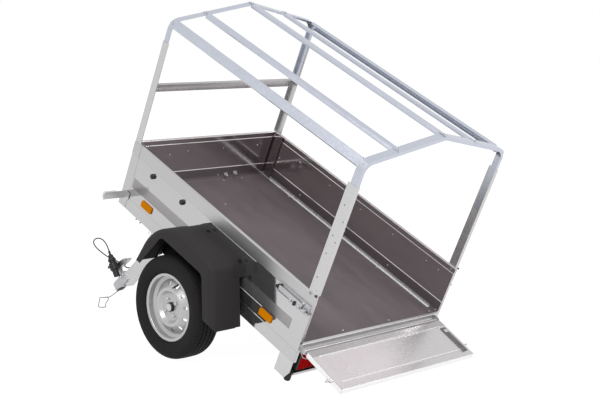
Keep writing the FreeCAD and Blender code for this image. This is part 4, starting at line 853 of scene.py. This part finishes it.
rivets = Piece("bed_rivets", "bed", "steel", zinc)
for side, out in SIDES.items():
    wall = f"side_wall_{side}"
    for x, z in INNER_RIVETS:
        rivets.rivet(from_inside(wall, x, z, out), *WALL_HEAD)
    for x, z in OUTER_RIVETS:
        rivets.rivet(from_outside(wall, x, z, out), *OUTER_HEAD)
    for x, z in PLATE_RIVETS:
        rivets.rivet(from_outside(wall, x, z, out), *PLATE_HEAD)
    for x, z in POST_INNER_RIVETS:
        rivets.rivet(from_inside("corner_posts", x, z, out), *POST_INNER_HEAD)
for y, z in FRONT_RIVETS:
    rivets.rivet(on_front(y, z), *WALL_HEAD)
for x, y in FLOOR_SCREWS:
    rivets.screw(on_surface("floor_panel", BED, (x, y, FLOOR_START), (0, 0, -1)), *FLOOR_HEAD)
for y, z in FRONT_NUTS:
    rivets.bolt(on_front(y, z), *FRONT_NUT)
rivets.done()
post_rivets = Piece("post_rivets", "bed", "steel", dark_steel)
stops = Piece("post_stops", "bed", "black_plastic", black_plastic)
plates = Piece("front_corner_plates", "bed", "galvanised", inner_plate)
for side, out in SIDES.items():
    for x, z in POST_RIVETS:
        post_rivets.rivet(from_outside("corner_posts", x, z, out), *POST_HEAD)
    stops.skin(wall_rings(rounded_box(*POST_STOP, 3), POST_STOP_LAYER, out), BED)
    plates.bolt(from_outside(f"side_wall_{side}", *POST_BOLT, out), SMALL_BOLT)
    plates.skin(wall_rings(box(*CORNER_PLATE), CORNER_PLATE_LAYER, out), BED)
post_rivets.done()
stops.done()
plates.done()

# %% [markdown]
# Every roof rail ends in a tab that lies on the bow, with a bolt through it. The line that
# finds each seat comes from outside the roof, so that it meets the tab and not the bow.

# %% Bolts of the tarp frame
RAIL_LINES = {"eave_rail_left": ((540, 1150), (518.3, 1125.2)),
              "eave_rail_right": ((-540, 1150), (-518.3, 1125.2)),
              "mid_rail_left": ((308, 1260), (308, 1184)),
              "mid_rail_right": ((-275, 1260), (-275, 1190)),
              "ridge_rail": ((0, 1320), (0, 1240))}
TAB_BOLT_FROM_END = 26
POST_BOLT_FROM_END = 20
POST_BOLT_HEIGHT = 425
POST_BOLT_HEAD = (5.5, 2.6)

frame_bolts = Piece("tarp_frame_bolts", "bed", "steel", zinc)
for rail, ((y, z), (aim_y, aim_z)) in RAIL_LINES.items():
    for x in (TAB_BOLT_FROM_END, BED_LENGTH - TAB_BOLT_FROM_END):
        seat = on_surface(rail, BED, (x, y, z), (0, aim_y - y, aim_z - z))
        frame_bolts.bolt(seat, SMALL_BOLT)
for out in SIDES.values():
    for x in (POST_BOLT_FROM_END, BED_LENGTH - POST_BOLT_FROM_END):
        frame_bolts.rivet(from_outside("corner_posts", x, POST_BOLT_HEIGHT, out), *POST_BOLT_HEAD)
frame_bolts.done()

# %% [markdown]
# The latch on each wall is a spring bolt in a channel. Three bent guides carry the bolt, with
# a black bush between them, and a black loop keeps the handle's front end down. The loop and
# its hook are rods along points that stand a little over the channel's face or the handle's.

# %% Latch parts
CHANNEL_FACE = 543
HANDLE_FACE = 556
GUIDES = ((136, 16), (74, 18), (36, 22))
GUIDE_LOW = 284
GUIDE_HIGH = 304
LATCH_ROD = ((4, 551, 288.5), (150, 551, 288.5))
LATCH_RIVETS = ((196, 318), (60, 318))
LATCH_HEAD = (5, 2)
BUSH = (99, 283, 112, 306)
LOOP = ((236, CHANNEL_FACE + 1, 292), (238, HANDLE_FACE + 3, 297), (243, HANDLE_FACE + 4, 308),
        (240, HANDLE_FACE + 4, 320), (228, HANDLE_FACE + 3, 326), (222, CHANNEL_FACE + 1, 327))
LOOP_HOOK = ((252, CHANNEL_FACE + 1, 298), (252, HANDLE_FACE + 2, 300), (251, HANDLE_FACE + 2, 312))


def softened(points, times=3):
    """A line of points with its corners cut, again and again, until it bends smoothly."""
    line = [Vector(point) for point in points]
    for _ in range(times):
        cut = [line[0]]
        for a, b in zip(line, line[1:]):
            cut += [a.lerp(b, 0.25), a.lerp(b, 0.75)]
        line = cut + [line[-1]]
    return line


def outwards(points, out):
    """Points of the left side, or the same on the right."""
    return [(x, y * out, z) for x, y, z in points]


def plate_on_latch(piece, outline, low, high, edge, out):
    """A plate over the latch, its outline in x and z and its faces under and over the handle's."""
    layers = ((outline, low), (outline, high - edge), (inset(outline, edge), high))
    piece.skin([[(x, (HANDLE_FACE + over) * out, z) for x, z in shape] for shape, over in layers], BED)


for side, out in SIDES.items():
    guides = Piece(f"latch_guides_{side}", "bed", "steel", cast_zinc)
    for middle, wide in GUIDES:
        outline = rounded_box(middle - wide / 2, GUIDE_LOW, middle + wide / 2, GUIDE_HIGH, 3)
        plate_on_latch(guides, outline, -12, 7, 1.5, out)
    guides.rod(outwards(LATCH_ROD, out), 5.0, BED, 14)
    for x, z in LATCH_RIVETS:
        guides.rivet(seat_at(BED, (x, HANDLE_FACE * out, z), (0, out, 0)), *LATCH_HEAD)
    guides.done()
    bush = Piece(f"latch_rubber_{side}", "bed", "black_plastic", black_plastic)
    plate_on_latch(bush, rounded_box(*BUSH, 3), -11, 9, 2, out)
    bush.rod(softened(outwards(LOOP, out)), 3.2, BED, 10)
    bush.rod(outwards(LOOP_HOOK, out), 3.0, BED, 10)
    bush.done()

# %% [markdown]
# The fenders are held by two black screws each, on the strip that joins them to the wall. Thin
# lips carry each fender's front and rear faces on towards the wall, and an inner skirt closes
# the view over the tyre; its plastic is darker than the fender's, as painted shade under the
# fender. Lines sent at the fender find its outline, and the lips follow it.

# %% Fender screws, lips and inner skirts
WHEEL_PLACE = 758
WHEEL_DROP = 138
FENDER_SCREWS = (815, 536)
PROBE_REACH = 600
PROBE_ACROSS = 660
LIP_HEIGHTS = range(-26, 205, 10)
LIP_FAR = 624
REAR_LIP_NEAR = 578
LIP_LAYER = (0.4, 4)
SKIRT_LAYER = (582, 586)
SKIRT_RADIUS = 262
SKIRT_STEPS = 24
SKIRT_FRONT_LOW = -20
SKIRT_REAR_LOW = 60


def fender_line(side, way):
    """A fender's outline from behind, or from ahead with way -1, in the bed's x and z."""
    line = []
    for z in LIP_HEIGHTS:
        start = (WHEEL_PLACE - PROBE_REACH * way, PROBE_ACROSS * SIDES[side], z)
        seat = on_surface(f"fender_{side}", BED, start, (way, 0, 0))
        line.append((((BED @ MM).inverted() @ seat.to_translation()).x, z))
    return line


def lip_rings(line, way, near, far):
    """A thin lip inside an outline, between two places across."""
    inner, outer = LIP_LAYER
    return [[(x + inner * way, near, z), (x + inner * way, far, z), (x + outer * way, far, z),
             (x + outer * way, near, z)] for x, z in line]


def skirt_outline(rear, front):
    """Down from the fender's top to an arch round the tyre."""
    outline = [(x - 1, z) for x, z in front if z > SKIRT_FRONT_LOW]
    outline += [(x + 1, z) for x, z in reversed(rear) if z > SKIRT_REAR_LOW]
    first = math.pi - math.asin((SKIRT_REAR_LOW + WHEEL_DROP) / SKIRT_RADIUS)
    last = math.asin((SKIRT_FRONT_LOW + WHEEL_DROP) / SKIRT_RADIUS)
    for step in range(SKIRT_STEPS + 1):
        turn = first + (last - first) * step / SKIRT_STEPS
        outline.append((WHEEL_PLACE + SKIRT_RADIUS * math.cos(turn),
                        SKIRT_RADIUS * math.sin(turn) - WHEEL_DROP))
    return outline


for side, out in SIDES.items():
    screws = Piece(f"fender_screws_{side}", "bed", "black_plastic", fender_screw_plastic)
    for x in FENDER_SCREWS:
        seat = on_surface(f"fender_{side}", BED, (x, 560 * out, 400), (0, 0, -1))
        screws.turned([(12, -0.2), (12, 2), (10.5, 3.4), (8.4, 3.8)], seat, 22)
        screws.turned([(6.6, 3), (6.6, 6.4), (5.4, 7.4), (2, 7.6)], seat, 6)
    screws.done()
    rear = fender_line(side, 1)
    front = fender_line(side, -1)
    lips = Piece(f"fender_lips_{side}", "bed", "black_plastic", fender_plastic)
    lips.skin(lip_rings(rear, 1, REAR_LIP_NEAR * out, LIP_FAR * out), BED)
    lips.skin(lip_rings(front, -1, SKIRT_LAYER[0] * out, LIP_FAR * out), BED)
    lips.done()
    skirt = Piece(f"fender_skirt_{side}", "bed", "black_plastic", shaded_skirt_plastic)
    skirt.skin(wall_rings(skirt_outline(rear, front), SKIRT_LAYER, out), BED)
    skirt.done()

# %% [markdown]
# The tail lamp's red glass fills the recess in its black housing. It is moulded in three
# fields, each with a raised pad in its middle, so each field is one outline that shrinks from
# layer to layer. Pale wire clips hook over its outer end.

# %% Tail lamps
LENS_FIELDS = ((291, 354), (356, 419), (421, 486))
LENS_LOW = -54
LENS_HIGH = 52
LENS_BACK = 3.0
LENS_FRONT = -1.2
LENS_EDGE = -2.0
LENS_PAD = ((-2.1, 9.0), (-3.0, 11.0), (-3.2, 13.0))
CLIPS = ((2.2, ((2, 512, 66), (-6, 508, 58), (-8, 500, 42), (-8, 484, 26), (-8, 462, 16), (-8, 444, 12),
                (-7, 436, 18))),
         (1.8, ((2, 494, 66), (-6, 490, 56), (-8, 474, 44), (-8, 458, 36))))

for side, out in SIDES.items():
    glass = Piece(f"tail_lamp_glass_{side}", "bed", "red_lens", red_glass)
    for near, far in LENS_FIELDS:
        field = rounded_box(near, LENS_LOW, far, LENS_HIGH, 5)
        layers = [(LENS_BACK, field), (LENS_FRONT, field), (LENS_EDGE, inset(field, 1.0))]
        for face, by in LENS_PAD:
            layers.append((face, rounded_box(near + by, LENS_LOW + by, far - by, LENS_HIGH - by, 3)))
        glass.skin([[(face, y * out, z) for y, z in shape] for face, shape in layers], BED)
    glass.done()
    clip = Piece(f"lamp_clip_{side}", "bed", "steel", zinc)
    for radius, line in CLIPS:
        clip.rod(softened(outwards(line, out)), radius, BED, 10)
    clip.done()

# %% [markdown]
# Under the lamps the rear beam ends in a thin lip that is turned up. It is the same all along,
# so its outline in x and z is drawn once at each end and the skin runs between them.

# %% Rear lip under the lamps
LIP_SHAPE = ((-9, -75), (-6.5, -75), (-6.5, -63), (-7.2, -62), (-8.3, -62), (-9, -63))
LIP_HALF = 515

lip_strip = Piece("rear_beam_lip", "bed", "galvanised", sheet_metal)
lip_strip.skin([[(x, y, z) for x, z in LIP_SHAPE] for y in (-LIP_HALF, LIP_HALF)], BED)
lip_strip.done()

# %% [markdown]
# Rivets and two folds show on the tailgate's inner face, and a rim stands round its outer
# edges; folds and rim are given a brighter sheet, as painted highlights. The slot at its right
# end holds a dark sliding bolt with a pale block at its end, and a dark plate over the slot,
# wider than it, is painted shade. The folds are low ridges on the sheet, because a bump in the
# finish has no edge to catch light.

# %% Tailgate parts
GATE_RIVETS = ((-71, 370), (-79, 152), (-102, -270), (-282, -212), (-278, -423), (-208, 394),
               (-210, 125), (-212, -149), (-211, -418))
GATE_HEAD = (4.6, 2.0)
GATE_FOLDS = ((-59, 453, -470), (-244, 451, -463))
FOLD_SHAPE = ((3.2, -0.2), (1.6, 2.2), (-1.6, 2.2), (-3.2, -0.2))
GATE_SIDE = 505.8
GATE_RIM = ((-14, 0), (9, 0), (12.4, 1.2), (13.2, 3.4), (12.4, 5.6), (-14, 5.6))
SIDE_RIM_RUN = (-298.5, -26)
END_RIM_PLACE = -300
END_RIM_HALF = 505
SLOT_SHADE = (-262, -496, -72, -458)
SLOT_SHADE_LAYER = (6.8, 12.6)
SLOT_BOLT = ((-228, -482, 12), (-112, -480, 12))
SLOT_BLOCK = (-112, -494, -90, -466)
SLOT_BLOCK_LAYER = (12, 17)


def on_gate(x, y):
    """The seat on the tailgate's inner face over a place."""
    return on_surface("tailgate_panel", GATE, (x, y, 80), (0, 0, -1))


gate_rivets = Piece("tailgate_rivets", "tailgate", "steel", zinc)
for x, y in GATE_RIVETS:
    gate_rivets.rivet(on_gate(x, y), *GATE_HEAD)
gate_rivets.done()
folds = Piece("tailgate_folds", "tailgate", "galvanised", highlight_sheet)
for x, left, right in GATE_FOLDS:
    rings = []
    for y in (left, right):
        floor = ((GATE @ MM).inverted() @ on_gate(x, y).to_translation()).z
        rings.append([(x + along, y, floor + height) for along, height in FOLD_SHAPE])
    folds.skin(rings, GATE)
for out in SIDES.values():
    folds.skin([[(x, (GATE_SIDE + across) * out, z) for z, across in GATE_RIM] for x in SIDE_RIM_RUN], GATE)
folds.skin([[(END_RIM_PLACE + across * 0.6, y, z) for z, across in GATE_RIM]
            for y in (-END_RIM_HALF, END_RIM_HALF)], GATE)
folds.done()
# A dark plate over the slot, wider than it, stands in for the slot's shade: painted shade. The rod is the
# sliding bolt.
slot_shade_and_bolt = Piece("tailgate_slot_shade_and_bolt", "tailgate", "steel", dark_steel)
slot_shade_and_bolt.slab(rounded_box(*SLOT_SHADE, 3), *SLOT_SHADE_LAYER, 1.0, GATE)
slot_shade_and_bolt.rod(SLOT_BOLT, 4.0, GATE, 12)
slot_shade_and_bolt.done()
slot_block = Piece("tailgate_slot_bolt", "tailgate", "steel", zinc)
slot_block.slab(rounded_box(*SLOT_BLOCK, 3), *SLOT_BLOCK_LAYER, 1.5, GATE)
slot_block.done()

# %% [markdown]
# Under the wall's front end hang two black tarp hooks and a wire ring. All are rods along a
# line, and the hooks' corners are cut first, because wire doesn't turn sharply.

# %% Tarp hooks and rings
HOOK_PLACES = (1408, 1368)
HOOK_LINE = ((0, 532, 2), (0, 532, -4), (-2, 535, -9), (-2, 540, -7))
RING_MIDDLE = Vector((1268, 532, -16))
RING_RADIUS = 14
RING_STEPS = 24

for side, out in SIDES.items():
    hooks = Piece(f"tarp_hooks_{side}", "bed", "black_plastic", black_plastic)
    for x in HOOK_PLACES:
        line = [(x + ahead, y, z) for ahead, y, z in HOOK_LINE]
        hooks.rod(softened(outwards(line, out), 2), 3.2, BED, 10)
    hooks.done()
    ring = Piece(f"tarp_ring_{side}", "bed", "steel", zinc)
    turns = [math.tau * i / RING_STEPS for i in range(RING_STEPS + 1)]
    line = [RING_MIDDLE + Vector((RING_RADIUS * math.cos(turn), 2 * math.sin(turn),
                                  RING_RADIUS * math.sin(turn))) for turn in turns]
    ring.rod(outwards(line, out), 2.0, BED, 8)
    ring.done()

# %% [markdown]
# The coupling is bolted through the drawbar's tube twice. The rope starts in a ferrule and is
# closed to a loop by a crimped sleeve, and both take their place from the rope's own points.
# The plug has raised rings for the fingers, turned about its axis.

# %% Coupling, rope and plug
BAR_BOLTS = (852, 884)
BAR_BOLT = (14, 3)
BAR_BOLT_START = (120, 32)
FERRULE_RADIUS = 4.2
FERRULE_RUN = (0.001, 0.012)
CRIMP_RADIUS = 0.0046
CRIMP_RUN = (-0.010, 0.008)
PLUG_PLACE = (0.903, 0.045, 0.0501)
PLUG_LEAN = math.radians(-10.5)
PLUG_RINGS = (54, 63, 72)
PLUG_RING_SHAPE = ((27.2, -2.4), (29.6, -1.6), (29.6, 1.6), (27.2, 2.4))

bar_bolts = Piece("coupling_bolts", "drawbar", "steel", zinc)
for x in BAR_BOLTS:
    for out in SIDES.values():
        start = (x, BAR_BOLT_START[0] * out, BAR_BOLT_START[1])
        bar_bolts.bolt(on_surface("coupling_head", BAR, start, (0, -out, 0)), *BAR_BOLT)
bar_bolts.done()


def sleeve_line(middle, direction, run):
    """A sleeve's ends in millimetres, from a place and a run along a direction in metres."""
    return [(middle + direction * share) * 1000 for share in run]


sleeves = Piece("rope_sleeves", "drawbar", "steel", cast_zinc)
start, after = rope_points[0], rope_points[1]
sleeves.rod(sleeve_line(start, (after - start).normalized(), FERRULE_RUN), FERRULE_RADIUS, WORLD, 14)
crimp = (rope_points[8] + rope_points[-1]) / 2
crimp.z = CRIMP_RADIUS + 0.0002
toward = (rope_points[7] - rope_points[8]).normalized()
sleeves.rod(sleeve_line(crimp, toward, CRIMP_RUN), CRIMP_RADIUS * 1000, WORLD, 14)
sleeves.done()
plug_seat = BAR @ Matrix.Translation(PLUG_PLACE) @ Matrix.Rotation(PLUG_LEAN, 4, "Y")
plug_rings = Piece("plug_rings", "drawbar", "black_plastic", black_plastic)
for middle in PLUG_RINGS:
    plug_rings.turned([(radius, middle + along) for radius, along in PLUG_RING_SHAPE], plug_seat, 32)
plug_rings.done()

# %% [markdown]
# The studio is plain: a white floor, a white surround and soft light from above. Only camera,
# mirror and glass rays see the surround as pure white; the light it sheds is weaker, so the
# metal keeps its own colours. The floor glows a little for those rays too, so that it meets
# the surround without a line, and still shows the trailer's shadow.

# %% Floor, surround and lamps
FLOOR_HALF = 30.0
FLOOR_GLOW = 1.2
FLOOR_GLOW_SHARE = 0.8
SURROUND_LIGHT = 0.62


def seen_by_eye(tree):
    """1 where the camera, a mirror or glass looks, and 0 for plain light."""
    paths = tree.nodes.new("ShaderNodeLightPath")
    wire = paths.outputs["Is Camera Ray"]
    for ray in ("Is Glossy Ray", "Is Transmission Ray"):
        either = tree.nodes.new("ShaderNodeMath")
        either.operation = "MAXIMUM"
        tree.links.new(wire, either.inputs[0])
        tree.links.new(paths.outputs[ray], either.inputs[1])
        wire = either.outputs[0]
    return wire


floor_data = bpy.data.meshes.new("studio_floor")
corners = box(-FLOOR_HALF, -FLOOR_HALF, FLOOR_HALF, FLOOR_HALF)
floor_data.from_pydata([(x, y, 0) for x, y in corners], [], [(0, 1, 2, 3)])
studio_floor = bpy.data.objects.new("studio_floor", floor_data)
scene.collection.objects.link(studio_floor)
floor_finish = Finish("studio_floor_finish", Roughness=0.9, Base_Color=(0.93, 0.93, 0.93, 1.0))
tree = floor_finish.tree
glow = tree.nodes.new("ShaderNodeEmission")
glow.inputs["Strength"].default_value = FLOOR_GLOW
blend = tree.nodes.new("ShaderNodeMixShader")
glow_part = floor_finish.node("ShaderNodeMath", {"operation": "MULTIPLY"},
                              {0: Wire(floor_finish, seen_by_eye(tree)), 1: FLOOR_GLOW_SHARE})
tree.links.new(glow_part.socket, blend.inputs[0])
tree.links.new(floor_finish.shader.outputs[0], blend.inputs[1])
tree.links.new(glow.outputs[0], blend.inputs[2])
tree.links.new(blend.outputs[0], tree.nodes["Material Output"].inputs["Surface"])
floor_data.materials.append(floor_finish.material)

world = bpy.data.worlds.new("studio_surround")
scene.world = world
world.use_nodes = True
sky = world.node_tree
level = sky.nodes.new("ShaderNodeMapRange")
level.inputs["To Min"].default_value = SURROUND_LIGHT
sky.links.new(seen_by_eye(sky), level.inputs["Value"])
sky.links.new(level.outputs[0], sky.nodes["Background"].inputs["Strength"])
sky.nodes["Background"].inputs["Color"].default_value = (1, 1, 1, 1)


def soft_lamp(name, place, target, size, power):
    data = bpy.data.lights.new(name, "AREA")
    data.shape = "DISK"
    data.size = size
    data.energy = power
    lamp = bpy.data.objects.new(name, data)
    lamp.location = place
    away = Vector(place) - Vector(target)
    lamp.rotation_euler = away.to_track_quat("Z", "Y").to_euler()
    scene.collection.objects.link(lamp)


soft_lamp("key_lamp", (-2.5, 4.5, 5.0), (0, 0, 0.5), 3.0, 260)
soft_lamp("fill_lamp", (-4.5, -2.0, 3.5), (0, 0, 0.5), 3.0, 110)
print("studio ready")
